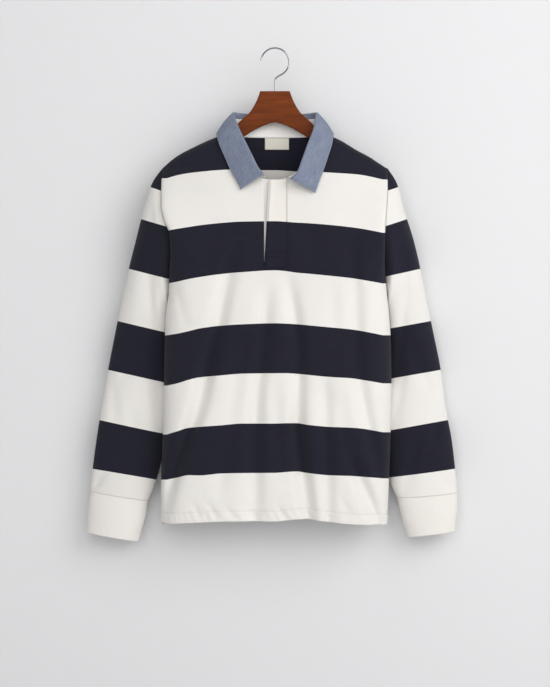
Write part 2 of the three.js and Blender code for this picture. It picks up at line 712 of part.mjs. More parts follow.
function solidOf(geometry) {
  geometry.deleteAttribute('normal');
  geometry.deleteAttribute('uv');
  const merged = mergeVertices(geometry, 1e-4);
  return new wasm.Manifold(
    new wasm.Mesh({
      numProp: 3,
      vertProperties: new Float32Array(merged.attributes.position.array),
      triVerts: new Uint32Array(merged.index.array),
    }),
  );
}

function geometryOf(solid) {
  const mesh = solid.getMesh();
  const geometry = new THREE.BufferGeometry();
  geometry.setAttribute('position', new THREE.Float32BufferAttribute(mesh.vertProperties, 3));
  geometry.setIndex(Array.from(mesh.triVerts));
  geometry.computeVertexNormals();
  return geometry;
}

// The front panel with its slit cut through.
function frontWall() {
  const high = ridgeAt(0);
  const cutter = new THREE.BoxGeometry(SLIT.right - SLIT.left, CUTTER_DEPTH, high - SLIT.bottom);
  cutter.translate((SLIT.right + SLIT.left) / 2, -CUTTER_DEPTH / 2 - 10, (high + SLIT.bottom) / 2);
  return geometryOf(solidOf(panelWall('front')).subtract(solidOf(cutter)));
}

// Half of the hanger's outline, from the top of the head to the middle of the arch below.
function hangerHalf(side) {
  const point = (x, z) => new THREE.Vector2(side * x, z);
  const armTop = (x) => ridgeAt(side * x) - HANGER_CLEAR - HANGER_BEVEL;
  const curve = (...ends) => new THREE.QuadraticBezierCurve(...ends).getPoints(7);
  const head = point(HEAD_HALF - HANGER_BEVEL, HANGER_TOP_Z - HANGER_BEVEL);
  const flare = point(HEAD_FLARE.x - HANGER_BEVEL, HEAD_FLARE.z);
  const headBend = point(HEAD_FLARE.bendX - HANGER_BEVEL, HEAD_FLARE.bendZ);
  const neck = point(NECK_FLARE.x, NECK_FLARE.z);
  const points = curve(head, headBend, flare);
  points.push(...curve(flare, point(NECK_FLARE.bendX, NECK_FLARE.bendZ), neck).slice(1));
  for (let i = 1; i <= ARM_STEPS; i += 1) {
    const x = lerp(ARCH.rootX, ARM_END.x, i / ARM_STEPS);
    points.push(point(x, armTop(x)));
  }
  points.push(point(ARM_END.x + ARM_END.blunt, armTop(ARM_END.x) - ARM_END.down));
  for (let i = 0; i < ARM_STEPS; i += 1) {
    const x = lerp(ARM_END.x, ARCH.rootX, i / ARM_STEPS);
    points.push(point(x, armTop(x) - ARM_HEIGHT));
  }
  const root = point(ARCH.rootX, armTop(ARCH.rootX) - ARM_HEIGHT);
  const bend = point(ARCH.bendX, ARCH.bendZ + HANGER_BEVEL);
  points.push(...curve(root, bend, point(0, ARCH.crownZ + HANGER_BEVEL)));
  return points;
}

function hangerBody() {
  const shape = new THREE.Shape([...hangerHalf(1), ...hangerHalf(-1).reverse().slice(1)]);
  const geometry = new THREE.ExtrudeGeometry(shape, {
    depth: HANGER_THICK - 2 * HANGER_BEVEL,
    bevelThickness: HANGER_BEVEL,
    bevelSize: HANGER_BEVEL,
    bevelSegments: 2,
    steps: 1,
  });
  geometry.translate(0, 0, -HANGER_THICK / 2 + HANGER_BEVEL);
  geometry.rotateX(Math.PI / 2);
  return geometry;
}

// The hook's route: an open ring, a swan neck and a straight shank into the hanger's head.
class HookRoute extends THREE.Curve {
  getPoint(t, target = new THREE.Vector3()) {
    const centreZ = WIRE_RADIUS - HOOK_RADIUS;
    const onRing = (turn) => {
      const a = degrees(turn);
      return new THREE.Vector3(HOOK_RADIUS * Math.cos(a), 0, centreZ + HOOK_RADIUS * Math.sin(a));
    };
    if (t < RING_SHARE) return target.copy(onRing(lerp(HOOK_TIP, HOOK_LEAVE, t / RING_SHARE)));
    const start = onRing(HOOK_LEAVE);
    const end = new THREE.Vector3(0, 0, start.z - SWAN_DROP);
    if (t < SWAN_SHARE) {
      const a = degrees(HOOK_LEAVE);
      const heading = new THREE.Vector3(Math.sin(a), 0, -Math.cos(a));
      const one = start.clone().addScaledVector(heading, SWAN_REACH);
      const two = end.clone().setZ(end.z + SWAN_REACH);
      const s = (t - RING_SHARE) / (SWAN_SHARE - RING_SHARE);
      return new THREE.CubicBezierCurve3(start, one, two, end).getPoint(s, target);
    }
    const s = (t - SWAN_SHARE) / (1 - SWAN_SHARE);
    return target.set(0, 0, lerp(end.z, HANGER_TOP_Z + SEAM, s));
  }
}

function hangerHook() {
  const section = new THREE.Shape();
  section.absarc(0, 0, WIRE_RADIUS, 0, 2 * Math.PI, false);
  const settings = { steps: 40, curveSegments: 5, extrudePath: new HookRoute() };
  return new THREE.ExtrudeGeometry(section, settings);
}

const FINISHES = {
  jersey: { color: '#2a2b38', roughness: 0.95, metalness: 0 },
  pale: { color: '#ebeae5', roughness: 0.95, metalness: 0 },
  rib: { color: '#e8e4dc', roughness: 0.95, metalness: 0 },
  chambray: { color: '#7c87a6', roughness: 0.9, metalness: 0 },
  wood: { color: '#6e361a', roughness: 0.4, metalness: 0 },
  chrome: { color: '#b9bcc0', roughness: 0.2, metalness: 1 },
};

const shirt = new THREE.Group();

function add(name, geometry, finish) {
  const mesh = new THREE.Mesh(geometry, new THREE.MeshStandardMaterial(FINISHES[finish]));
  mesh.name = name;
  shirt.add(mesh);
}

add('front_body', frontWall(), 'jersey');
add('back_body', panelWall('back'), 'jersey');
add('sleeve_left', sleeveWall(-1, LEFT_SLEEVE), 'jersey');
add('sleeve_right', sleeveWall(1, RIGHT_SLEEVE), 'jersey');
add('cuff_left', cuffWall(LEFT_CUFF), 'rib');
add('cuff_right', cuffWall(RIGHT_CUFF), 'rib');
add('collar_leaf', collarWall(), 'chambray');
add('neck_band', bandWall(), 'pale');
add('placket_over', overPlacket(), 'pale');
add('placket_under', underPlacket(), 'pale');
add('neck_label', label(), 'pale');
add('hanger_body', hangerBody(), 'wood');
add('hanger_hook', hangerHook(), 'chrome');

export default shirt;
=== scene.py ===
# %% [markdown]
# # A rugby shirt on a wooden hanger
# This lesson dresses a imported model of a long-sleeved rugby shirt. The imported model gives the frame:
# each cloth solid is replaced by a finer shell of the same form, and the hanger keeps its own solids.
# The cloth is made in Python from the sizes that the pattern was drawn with, because a hanging shirt
# is a few smooth sections with long soft troughs. Geometry Nodes sew the stitches afterwards.

# %% Load the frame
import math

import bmesh
import bpy
import numpy as np
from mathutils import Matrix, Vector


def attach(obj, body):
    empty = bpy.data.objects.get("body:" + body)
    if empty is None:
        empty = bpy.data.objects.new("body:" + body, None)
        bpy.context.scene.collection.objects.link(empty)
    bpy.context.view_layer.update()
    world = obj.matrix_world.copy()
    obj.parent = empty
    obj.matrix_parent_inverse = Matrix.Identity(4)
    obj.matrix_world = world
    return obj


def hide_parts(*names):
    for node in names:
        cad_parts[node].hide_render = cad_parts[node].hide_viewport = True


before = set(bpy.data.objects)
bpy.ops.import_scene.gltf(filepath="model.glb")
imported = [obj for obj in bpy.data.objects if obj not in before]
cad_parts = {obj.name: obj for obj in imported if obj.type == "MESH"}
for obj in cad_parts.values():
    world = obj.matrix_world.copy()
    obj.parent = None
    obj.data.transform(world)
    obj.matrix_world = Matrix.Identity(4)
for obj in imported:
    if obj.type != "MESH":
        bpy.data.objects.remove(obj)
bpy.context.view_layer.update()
MM = 0.001

# %% [markdown]
# ## The sizes
# A shirt hangs from its shoulder ridge. Every other size follows from how far the cloth is from that
# ridge, how wide the body is at a height, and how deep it stands in front of and behind the hanger.
# The tables are short, with a row for each section, and are in millimetres with +Z up.

# %% Sizes of the cloth
CLOTH = 1.6
NECK_HALF_WIDTH = 92
NECK_SIDE_Z = -157
NECK_FRONT_DROP = 87
NECK_BACK_DROP = 8
NECK_ROUNDNESS = 2.2
UNDERARM_Z = -446
SHOULDER_TIP_Z = -221
SHOULDER_X = 208
RIDGE_RADIUS = 14
VENT_TOP_Z = -836
VENT_BOTTOM_Z = -876
VENT_OPEN = 5
SEAM_HALF = 0.2
ARMHOLE_CURVE = {"top": 0.8, "bottom": 1.6}
ARMHOLE_REACH = 8
DEPTH_REACH = 120
DEPTH_CURVE = 1.1
EDGE_POWER = 0.42
SQUARER = 1.6  # worn cloth lies flatter over the front than its plain section
FOLD_GAIN = 1.9  # the loose cloth dips further than the solid's troughs
FOLD_START = 150
FOLD_FADE = 60
ARMHOLE_DEPTH = {"front": 25, "back": 22}

# Each row: distance out from the middle, ridge height on the left and on the right.
RIDGE = [
    (0, -149, -149),
    (92, -157, -157),
    (107, -163, -163),
    (122, -169, -170),
    (150, -182, -187),
    (176, -195.5, -201),
    (191, -206, -211),
    (208, -221, -222),
]

# Each row: height, half width on the left and on the right.
SIDE = [
    (-221, 208, 208),
    (-256, 210, 208),
    (-290, 210, 206),
    (-317, 205, 204),
    (-345, 194, 202.6),
    (-381, 192.4, 202.6),
    (-409, 195, 203.5),
    (-446, 196.3, 206.5),
    (-502, 202.8, 212),
    (-557, 204.4, 215),
    (-613, 205.5, 215.5),
    (-705, 207.4, 214),
    (-798, 210.8, 211),
    (-900, 211, 206),
]

# Each row: height, depth of the front, depth of the back, squareness of the section.
DEPTH = [
    (-149, 50, 42, 5),
    (-200, 52, 44, 4.6),
    (-243, 54, 45, 4),
    (-330, 54, 44, 4),
    (-446, 53, 42, 4.2),
    (-620, 52, 42, 4.4),
    (-900, 50, 40, 4.4),
]

# Each row: place across, height of the front's hem, height of the back's hem.
HEM = [
    (-211, -874, -882),
    (-190, -875, -878),
    (-160, -873.5, -875),
    (-80, -870, -874),
    (0, -870, -874),
    (45, -866, -874),
    (100, -871.5, -875),
    (150, -876, -876),
    (206, -878, -877),
]

# The troughs of a panel. Each row of a trough: height, place across, half width, depth.
FOLDS = {
    "front": [
        [
            (-300, -64, 17, 0), (-380, -78, 16, 2.5), (-450, -93, 15, 6), (-530, -108, 15, 8),
            (-585, -123, 15, 9), (-660, -140, 15, 9), (-733, -166, 14, 10), (-807, -192, 13, 9),
            (-860, -205, 13, 4),
        ],
        [
            (-425, -12, 15, 0), (-500, -18, 14, 4.5), (-560, -22, 14, 5), (-640, -33, 14, 6),
            (-800, -37, 16, 5.5), (-880, -37, 16, 4),
        ],
        [
            (-410, 24, 14, 0), (-480, 33, 13, 5.5), (-560, 44, 13, 6), (-640, 42, 13, 7),
            (-690, 41, 13, 9), (-807, 54, 14, 9.5), (-880, 64, 14, 8.5),
        ],
        [
            (-285, 136, 18, 0), (-360, 142, 16, 2), (-440, 146, 15, 5), (-585, 152, 15, 5),
            (-660, 163, 14, 6), (-760, 187, 13, 4), (-800, 192, 13, 0),
        ],
        [(-730, 132, 13, 0), (-770, 146, 13, 5), (-850, 180, 13, 8), (-880, 190, 13, 7)],
        [(-590, 90, 13, 0), (-650, 92, 13, 4), (-880, 98, 13, 4)],
    ],
    "back": [
        [(-330, -116, 17, 0), (-480, -107, 16, 6), (-640, -98, 16, 7), (-880, -90, 16, 4)],
        [(-430, -33, 15, 0), (-560, -38, 14, 7), (-885, -48, 14, 8)],
        [(-300, 55, 17, 0), (-450, 48, 16, 5), (-600, 42, 16, 6), (-760, 37, 16, 0)],
        [(-460, 115, 16, 0), (-600, 122, 15, 7), (-885, 136, 15, 8)],
    ],
}
print("shoulders", 2 * SHOULDER_X, "mm wide, front troughs", len(FOLDS["front"]))


# %% [markdown]
# ## Reading the tables
# A smooth curve through a table's rows keeps each size exact at its row and never overshoots between
# rows. The same rule gives the solids their form, so the shells stay on them.

# %% Read a table
def read(table, column, at):
    """Monotone cubic through the rows of a table, at many places at once."""
    rows = np.array([[row[0], row[column]] for row in table], float)
    if rows[-1, 0] < rows[0, 0]:
        rows = rows[::-1]
    key, value = rows[:, 0], rows[:, 1]
    at = np.clip(np.asarray(at, float), key[0], key[-1])
    gap = np.diff(key)
    slope = np.diff(value) / gap
    tangent = np.empty(len(key))
    tangent[0], tangent[-1] = slope[0], slope[-1]
    product = slope[:-1] * slope[1:]
    total = slope[:-1] + slope[1:]
    safe = np.where(np.abs(total) < 1e-12, 1, total)
    tangent[1:-1] = np.where(product > 0, 2 * product / safe, 0)
    i = np.clip(np.searchsorted(key, at, side="right") - 1, 0, len(key) - 2)
    h = gap[i]
    t = (at - key[i]) / h
    rise = value[i + 1] - value[i]
    a = tangent[i] * h - rise
    b = rise - tangent[i + 1] * h
    return value[i] + rise * t + t * (1 - t) * (a * (1 - t) + b * t)


def by_side(table, x, at):
    """A table's left column where x is negative, and its right column elsewhere."""
    return np.where(np.asarray(x) < 0, read(table, 1, at), read(table, 2, at))


def ridge_at(x):
    return by_side(RIDGE, x, np.abs(x))


def side_at(x, z):
    return by_side(SIDE, x, z)


def smooth(t):
    t = np.clip(t, 0, 1)
    return t * t * (3 - 2 * t)


# %% [markdown]
# ## The hanging form
# The panel's distance from the hanger's plane is a round ridge over the hanger's arm, which fills out
# down the body and closes at the side seams. Long troughs are taken off it. Sculpting would give a
# similar form, but sizes in a table can be corrected against the garment one fold at a time.

# %% The panel's form
def armhole_share(z):
    return np.clip((SHOULDER_TIP_Z - z) / (SHOULDER_TIP_Z - UNDERARM_Z), 0, 1)


def armhole_depth(face, share):
    """Half depth of the armhole: round at the shoulder, running out softly at the underarm."""
    share = np.asarray(share, float)
    curve = np.where(share < 0.5, ARMHOLE_CURVE["top"], ARMHOLE_CURVE["bottom"])
    return ARMHOLE_DEPTH[face] * np.maximum(np.sin(np.pi * share), 0) ** curve


def trough(x, z, x1, z1, x2, z2, wide, deep):
    """A soft trough along a line, deepest near its middle."""
    dx, dz = x2 - x1, z2 - z1
    t = np.clip(((x - x1) * dx + (z - z1) * dz) / (dx * dx + dz * dz), 0, 1)
    away = np.hypot(x - x1 - dx * t, z - z1 - dz * t) / wide
    along = np.sin(np.pi * np.clip(0.12 + t * 0.88, 0, 1)) ** 0.6
    return deep * np.exp(-away * away) * along


def fold_depth(face, x, z):
    """Depth of all troughs and creases at a place on a panel."""
    total = np.zeros(np.broadcast(x, z).shape)
    for rows in FOLDS[face]:
        away = (x - read(rows, 1, z)) / read(rows, 2, z)
        total = total + FOLD_GAIN * read(rows, 3, z) * np.exp(-away * away)
    for where, *line in CREASES:
        if where == face:
            total = total + trough(x, z, *line)
    return total


def panel_depth(face, x, z):
    """Distance of a panel's outer surface from the hanger's plane."""
    x, z = np.broadcast_arrays(np.asarray(x, float), np.asarray(z, float))
    share = np.minimum(1, np.abs(x) / side_at(x, z))
    section = (1 - share ** (SQUARER * read(DEPTH, 3, z))) ** EDGE_POWER
    drop = np.maximum(0, ridge_at(np.clip(x, -SHOULDER_X, SHOULDER_X)) - z)
    turn = 1 - np.minimum(1, drop / RIDGE_RADIUS)
    ridge = RIDGE_RADIUS * np.sqrt(1 - turn * turn)
    fill = 1 - np.exp(-((drop / DEPTH_REACH) ** DEPTH_CURVE))
    full = read(DEPTH, 1 if face == "front" else 2, z)
    edge = armhole_depth(face, armhole_share(z)) * share**ARMHOLE_REACH
    fade = section * np.clip((ridge_at(0) - z - FOLD_START) / FOLD_FADE, 0, 1)
    return section * (ridge + (full - RIDGE_RADIUS) * fill) + edge - fade * fold_depth(face, x, z)


def face_sign(face):
    return -1 if face == "front" else 1


def on_panel(face, x, z, out=0):
    """Points on a panel, moved out by a distance, as an array of rows of x y z."""
    x, z = np.broadcast_arrays(np.asarray(x, float), np.asarray(z, float))
    return np.stack([x, face_sign(face) * (panel_depth(face, x, z) + out), z], axis=-1)


# %% Small creases
# Creases that the solids don't hold: face, one end, other end, half width, depth.
CREASES = [
    ("front", -150, -840, -128, -868, 7, 2.2),
    ("front", -122, -838, -104, -869, 6, 1.8),
    ("front", -92, -842, -72, -866, 6, 1.5),
    ("front", -58, -836, -30, -868, 8, 1.8),
    ("front", 8, -846, 24, -872, 7, 2.4),
    ("front", 62, -850, 52, -872, 6, 1.6),
    ("front", 120, -828, 140, -866, 8, 2.2),
    ("front", -186, -360, -150, -420, 9, 3.0),
    ("front", -190, -420, -160, -520, 9, 2.5),
    ("front", 196, -380, 166, -440, 9, 3.0),
    ("front", 200, -450, 172, -560, 10, 2.5),
    ("front", 60, -330, 80, -420, 18, 3.0),
    ("front", -120, -300, -100, -390, 20, 3.0),
    ("front", 108, -440, 112, -560, 17, 3.5),
    ("front", 120, -660, 132, -740, 16, 3.5),
    ("front", -60, -560, -84, -700, 16, 4.0),
    ("front", -84, -720, -104, -830, 15, 4.5),
    ("front", 2, -620, 8, -800, 14, 3.5),
    ("back", 150, -360, 170, -470, 10, 3.0),
    ("back", -160, -370, -176, -480, 10, 3.0),
    ("back", 0, -820, 12, -874, 9, 2.4),
    ("back", -130, -830, -118, -872, 8, 2.0),
    ("back", 80, -834, 70, -874, 8, 2.0),
]

print("front depth at the chest", float(panel_depth("front", 0, -400)))

# %% [markdown]
# ## Stripes follow the fabric
# The stripes are knitted, so they run with the fabric and not with the room: they bow down at the
# sides and shift a little at each fold. Each shell gets a UV map whose U is the place across the
# fabric and whose V is the place down it. A table of the heights at which the stripe edges are seen
# turns a place on the shirt into its place on the fabric, where every stripe is straight.

# %% Fabric places
EYE_Z = -545.2  # height of the eye that saw the stripe edges
EYE_DISTANCE = 3530
# Heights of the stripe edges on the flat fabric, from the yoke down.
BODY_EDGES = (-225, -318.5, -411, -507, -600, -692, -783.5)
# Each row: place across, then the heights at which the seven stripe edges are seen there.
SEEN_EDGES = [
    (-200, -239.5, -336.5, -434.5, -530.0, -623.0, -713.5, -797.0),
    (-180, -233.7, -332.8, -430.6, -526.8, -618.8, -707.3, -793.0),
    (-160, -230.0, -329.7, -426.0, -522.4, -612.4, -701.3, -788.8),
    (-140, -227.6, -326.6, -422.4, -517.5, -607.9, -699.4, -789.3),
    (-100, -224.1, -322.2, -416.7, -512.2, -604.2, -696.6, -785.7),
    (-60, -222.5, -319.6, -413.1, -509.7, -601.0, -693.3, -784.9),
    (0, -222.0, -318.9, -409.8, -507.8, -600.2, -693.3, -784.5),
    (20, -223.0, -320.0, -411.3, -508.5, -600.1, -692.7, -783.0),
    (40, -224.5, -321.5, -414.2, -509.6, -601.3, -692.6, -781.9),
    (60, -226.0, -322.5, -415.9, -511.4, -603.2, -695.6, -784.7),
    (100, -228.9, -325.7, -419.8, -515.2, -607.0, -699.4, -789.0),
    (140, -231.3, -330.0, -424.1, -519.0, -609.4, -700.9, -790.2),
    (160, -233.3, -332.8, -427.2, -522.0, -612.3, -702.6, -791.6),
    (200, -241.8, -340.4, -434.2, -530.0, -619.0, -709.4, -794.6),
]


def as_seen(x, y, z):
    """Where a point appears on the plane of the hanger, from the eye in front."""
    scale = EYE_DISTANCE / (EYE_DISTANCE + np.asarray(y, float))
    return x * scale, EYE_Z + (z - EYE_Z) * scale


def body_fabric(x, z):
    """V on the body, in millimetres, from a seen place."""
    edges = [read(SEEN_EDGES, k + 1, x) for k in range(len(BODY_EDGES))]
    v = z + BODY_EDGES[0] - edges[0]
    for k in range(len(BODY_EDGES) - 1):
        t = (edges[k] - z) / (edges[k] - edges[k + 1])
        v = np.where(t > 0, BODY_EDGES[k] + (BODY_EDGES[k + 1] - BODY_EDGES[k]) * t, v)
    return np.where(z < edges[-1], z + BODY_EDGES[-1] - edges[-1], v)


# %% [markdown]
# ## From grids to cloth
# A grid of points becomes a quad mesh with its UV map. Solidify would also do the wall, but the seams
# need their inner edges held apart, so the inner points are made here, by moving the outer ones in
# along their normals.

# %% Normals and walls
FAR = 100  # a distance that means no seam near


def normals_of(grid, test, way, ringed=False):
    """Unit normals of a grid of points, all turned if the one at the test place is against the way."""
    if ringed:
        across = np.roll(grid, -1, 1) - np.roll(grid, 1, 1)
    else:
        across = np.gradient(grid, axis=1)
    n = np.cross(across, np.gradient(grid, axis=0))
    n = n / np.maximum(np.linalg.norm(n, axis=-1, keepdims=True), 1e-9)
    return -n if np.dot(n[test], way) < 0 else n


def cloth_mesh(name, outer, inner, uv, ringed=False, seam=None, edge=None):
    """A closed wall from an outer and an inner grid in millimetres, with UVs in metres.

    seam and edge are distances in millimetres from a stitch line and from a cut edge."""
    rows, columns = outer.shape[:2]
    points = np.concatenate([outer.reshape(-1, 3), inner.reshape(-1, 3)]) * MM
    spans = columns if ringed else columns - 1
    r, c = np.meshgrid(np.arange(rows - 1), np.arange(spans), indexing="ij")
    r, c = r.ravel(), c.ravel()
    d = (c + 1) % columns
    count = rows * columns
    out = np.stack([r * columns + c, (r + 1) * columns + c, (r + 1) * columns + d, r * columns + d], 1)
    faces = [out, out[:, ::-1] + count]
    c = np.arange(spans)
    d = (c + 1) % columns
    last = (rows - 1) * columns
    faces.append(np.stack([c, d, d + count, c + count], 1))
    faces.append(np.stack([last + c, last + c + count, last + d + count, last + d], 1))
    if not ringed:
        r = np.arange(rows - 1) * columns
        end = r + columns - 1
        faces.append(np.stack([r, r + count, r + columns + count, r + columns], 1))
        faces.append(np.stack([end, end + columns, end + columns + count, end + count], 1))
    faces = np.concatenate(faces)
    mesh = bpy.data.meshes.new(name)
    mesh.from_pydata(points.tolist(), [], faces.tolist())
    flat_uv = np.concatenate([uv.reshape(-1, 2)] * 2)
    layer = mesh.uv_layers.new(name="Fabric")
    loops = np.empty(len(mesh.loops), np.int32)
    mesh.loops.foreach_get("vertex_index", loops)
    layer.data.foreach_set("uv", flat_uv[loops].astype(np.float32).ravel())
    for label, values in (("Seam", seam), ("Edge", edge)):
        made = mesh.attributes.new(label, "FLOAT", "POINT")
        values = np.broadcast_to(FAR if values is None else values, (rows, columns))
        made.data.foreach_set("value", (np.concatenate([values.ravel()] * 2) * MM).astype(np.float32))
    mesh.polygons.foreach_set("use_smooth", np.ones(len(mesh.polygons), bool))
    return outward(mesh)


def outward(mesh):
    """Turn a closed mesh so that its faces point out."""
    bm = bmesh.new()
    bm.from_mesh(mesh)
    if bm.calc_volume(signed=True) < 0:
        bmesh.ops.reverse_faces(bm, faces=bm.faces)
    bm.to_mesh(mesh)
    bm.free()
    return mesh


# %% Lengths and pieces
def running(grid, axis=1):
    """How far each point lies along its row, or its column for axis 0, in millimetres."""
    step = np.linalg.norm(np.diff(grid, axis=axis), axis=-1)
    start = np.zeros_like(np.take(step, [0], axis))
    return np.concatenate([start, np.cumsum(step, axis=axis)], axis=axis)


def put(name, data):
    """An object in the scene for its data."""
    thing = bpy.data.objects.new(name, data)
    bpy.context.collection.objects.link(thing)
    return thing


def piece(name, mesh, material, replaces=()):
    """An object for a mesh, riding on the body and standing for its solids."""
    thing = put(name, mesh)
    mesh.materials.clear()
    mesh.materials.append(material)
    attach(thing, "root")
    if replaces:
        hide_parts(*replaces)
    print(name, len(mesh.polygons), "faces")


# %% [markdown]
# ## Shared effects
# Three shader groups serve several cloths. One gives a knit or a weave as a height that goes to a Bump
# node. Another gives a slow change of tone, as cloth has from handling and dye. The third gives a
# pressed groove along a stitch line, as a height and as a mask for painted shade in the groove. A
# group puts out values only, so the Principled BSDF stays in each material, where an exporter can
# read it.

# %% Node helpers
def link(tree, a, b):
    tree.links.new(a, b)


def fill(made, values):
    """Set a node's inputs by their names."""
    for label, value in values.items():
        made.inputs[label].default_value = value


def node(tree, kind, **settings):
    made = tree.nodes.new(kind)
    for key, value in settings.items():
        setattr(made, key, value)
    return made


def maths(tree, operation, a, b=None):
    made = node(tree, "ShaderNodeMath", operation=operation)
    for socket, value in zip(made.inputs, (a, b)):
        if isinstance(value, (int, float)):
            socket.default_value = value
        elif value is not None:
            link(tree, value, socket)
    return made.outputs[0]


def times(tree, a, b):
    return maths(tree, "MULTIPLY", a, b)


def plus(tree, a, b):
    return maths(tree, "ADD", a, b)


def parts_of(tree, vector):
    """The outputs of a vector's three parts."""
    split = node(tree, "ShaderNodeSeparateXYZ")
    link(tree, vector, split.inputs[0])
    return split.outputs


def noise(tree, place, scale, detail=2):
    """Noise at a place. Three scales stretch it, as along threads or grain."""
    if isinstance(scale, tuple):
        stretch = node(tree, "ShaderNodeMapping")
        stretch.inputs["Scale"].default_value = scale
        link(tree, place, stretch.inputs["Vector"])
        place, scale = stretch.outputs[0], 1
    made = node(tree, "ShaderNodeTexNoise")
    fill(made, {"Scale": scale, "Detail": detail})
    link(tree, place, made.inputs["Vector"])
    return made


def mix_colour(tree, factor, a, b):
    made = node(tree, "ShaderNodeMix", data_type="RGBA")
    for socket, value in ((made.inputs[0], factor), (made.inputs[6], a), (made.inputs[7], b)):
        if isinstance(value, (int, float)):
            socket.default_value = value
        elif isinstance(value, tuple):
            socket.default_value = (*value, 1)
        else:
            link(tree, value, socket)
    return made.outputs[2]


def bump(tree, shader, height, distance, strength=1.0):
    made = node(tree, "ShaderNodeBump")
    fill(made, {"Strength": strength, "Distance": distance})
    link(tree, height, made.inputs["Height"])
    link(tree, made.outputs[0], shader.inputs["Normal"])


def remapped(tree, value, low, high):
    made = node(tree, "ShaderNodeMapRange")
    fill(made, {"To Min": low, "To Max": high})
    link(tree, value, made.inputs["Value"])
    return made.outputs[0]


def scaled(colour, by):
    return tuple(min(1, by * c) for c in colour)


# %% Knit, tone and seam groups
PLACES = ("Fabric", "Place")  # inputs that are places


def new_group(name, inputs, outputs):
    """A shader group. Its inputs are places or numbers, and its outputs are numbers."""
    group = bpy.data.node_groups.new(name, "ShaderNodeTree")
    for label, value in inputs.items():
        kind = "NodeSocketVector" if label in PLACES else "NodeSocketFloat"
        socket = group.interface.new_socket(label, in_out="INPUT", socket_type=kind)
        if value is not None:
            socket.default_value = value
    for label in outputs:
        group.interface.new_socket(label, in_out="OUTPUT", socket_type="NodeSocketFloat")
    return group, node(group, "NodeGroupInput"), node(group, "NodeGroupOutput")


def knit_group():
    """Height of a knit: rows of small loops, each a rounded V leaning to one side."""
    inputs = {"Fabric": None, "Wales per metre": 700, "Courses per metre": 900}
    group, enter, leave = new_group("Knit Loops", inputs, ["Height"])
    u, v, _ = parts_of(group, enter.outputs["Fabric"])
    wale = times(group, u, enter.outputs["Wales per metre"])
    course = times(group, v, enter.outputs["Courses per metre"])
    across = maths(group, "PINGPONG", wale, 0.5)
    loop = maths(group, "SINE", times(group, plus(group, course, across), 2 * math.pi))
    valley = maths(group, "SINE", times(group, across, 2 * math.pi))
    height = plus(group, times(group, loop, 0.35), times(group, valley, 0.65))
    link(group, height, leave.inputs["Height"])
    return group


def tone_group():
    """A slow change of tone, from 0 to 1, in two sizes."""
    inputs = {"Place": None, "Broad": 9, "Fine": 900}
    group, enter, leave = new_group("Cloth Tone", inputs, ["Tone", "Fleck"])
    for size, mask in (("Broad", "Tone"), ("Fine", "Fleck")):
        texture = noise(group, enter.outputs["Place"], inputs[size], 3)
        link(group, enter.outputs[size], texture.inputs["Scale"])
        link(group, texture.outputs[0], leave.inputs[mask])
    return group


def seam_group():
    """A pressed groove along a stitch line, from a Seam attribute in metres: its height, and a mask for
    the painted shade in the groove.
    """
    inputs = {"Seam": None, "Half Width": 0.0016}
    group, enter, leave = new_group("Seam Groove and Painted Shade", inputs, ["Height", "Shade"])
    near = maths(group, "DIVIDE", enter.outputs["Seam"], enter.outputs["Half Width"])
    falling = times(group, times(group, near, near), -1)
    groove_and_painted_shade = maths(group, "EXPONENT", falling)
    link(group, times(group, groove_and_painted_shade, -1), leave.inputs["Height"])
    link(group, groove_and_painted_shade, leave.inputs["Shade"])
    return group


KNIT = knit_group()
TONE = tone_group()
GROOVE = seam_group()
print("shader groups", KNIT.name, TONE.name, GROOVE.name, sep=", ")


# %% Cloth materials
def groove_of(tree, attribute, half_width):
    """The seam group's node, fed by a distance that the mesh carries."""
    carried = node(tree, "ShaderNodeAttribute", attribute_name=attribute)
    made = node(tree, "ShaderNodeGroup", node_tree=GROOVE)
    link(tree, carried.outputs["Fac"], made.inputs["Seam"])
    made.inputs["Half Width"].default_value = half_width
    return made


def new_material(name, roughness, specular):
    """A material with its node tree and its Principled BSDF."""
    material = bpy.data.materials.new(name)
    material.use_nodes = True
    shader = material.node_tree.nodes["Principled BSDF"]
    fill(shader, {"Roughness": roughness, "Specular IOR Level": specular})
    return material, material.node_tree, shader


def cloth_material(name, roughness, sheen, specular=0.25):
    """A material for cloth, with its fabric place and the outputs of its tone."""
    material, tree, shader = new_material(name, roughness, specular)
    fill(shader, {"Sheen Weight": sheen, "Sheen Roughness": 0.6})
    fabric = node(tree, "ShaderNodeUVMap", uv_map="Fabric").outputs[0]
    tone = node(tree, "ShaderNodeGroup", node_tree=TONE)
    link(tree, node(tree, "ShaderNodeTexCoord").outputs["Object"], tone.inputs["Place"])
    return material, tree, shader, fabric, tone.outputs


def toned_colour(tree, shader, colour, shade):
    """Send a colour to the shader, lightened or darkened by a value: its random tone, and painted shade
    along stitch lines.
    """
    toned = node(tree, "ShaderNodeHueSaturation")
    link(tree, colour, toned.inputs["Color"])
    link(tree, shade, toned.inputs["Value"])
    link(tree, toned.outputs[0], shader.inputs["Base Color"])


# %% [markdown]
# ## The striped jersey
# The cloth is a heavy cotton jersey with dyed yarns. The stripes are cut from V by comparing it with
# the stripe edges, so a new set of edges is one short list. Each edge wavers by less than a loop.

# %% Jersey
NAVY = (0.0135, 0.0132, 0.0232)
OFF_WHITE = (0.80, 0.775, 0.735)
SLEEVE_EDGES = (-256, -315, -407, -503.6, -594, -686.7, -777)
EDGE_WAVER = 0.0006  # how far, in metres, a stripe's edge strays
COURSE_STREAKS = (22, 900, 1)  # scales across, down and through the cloth


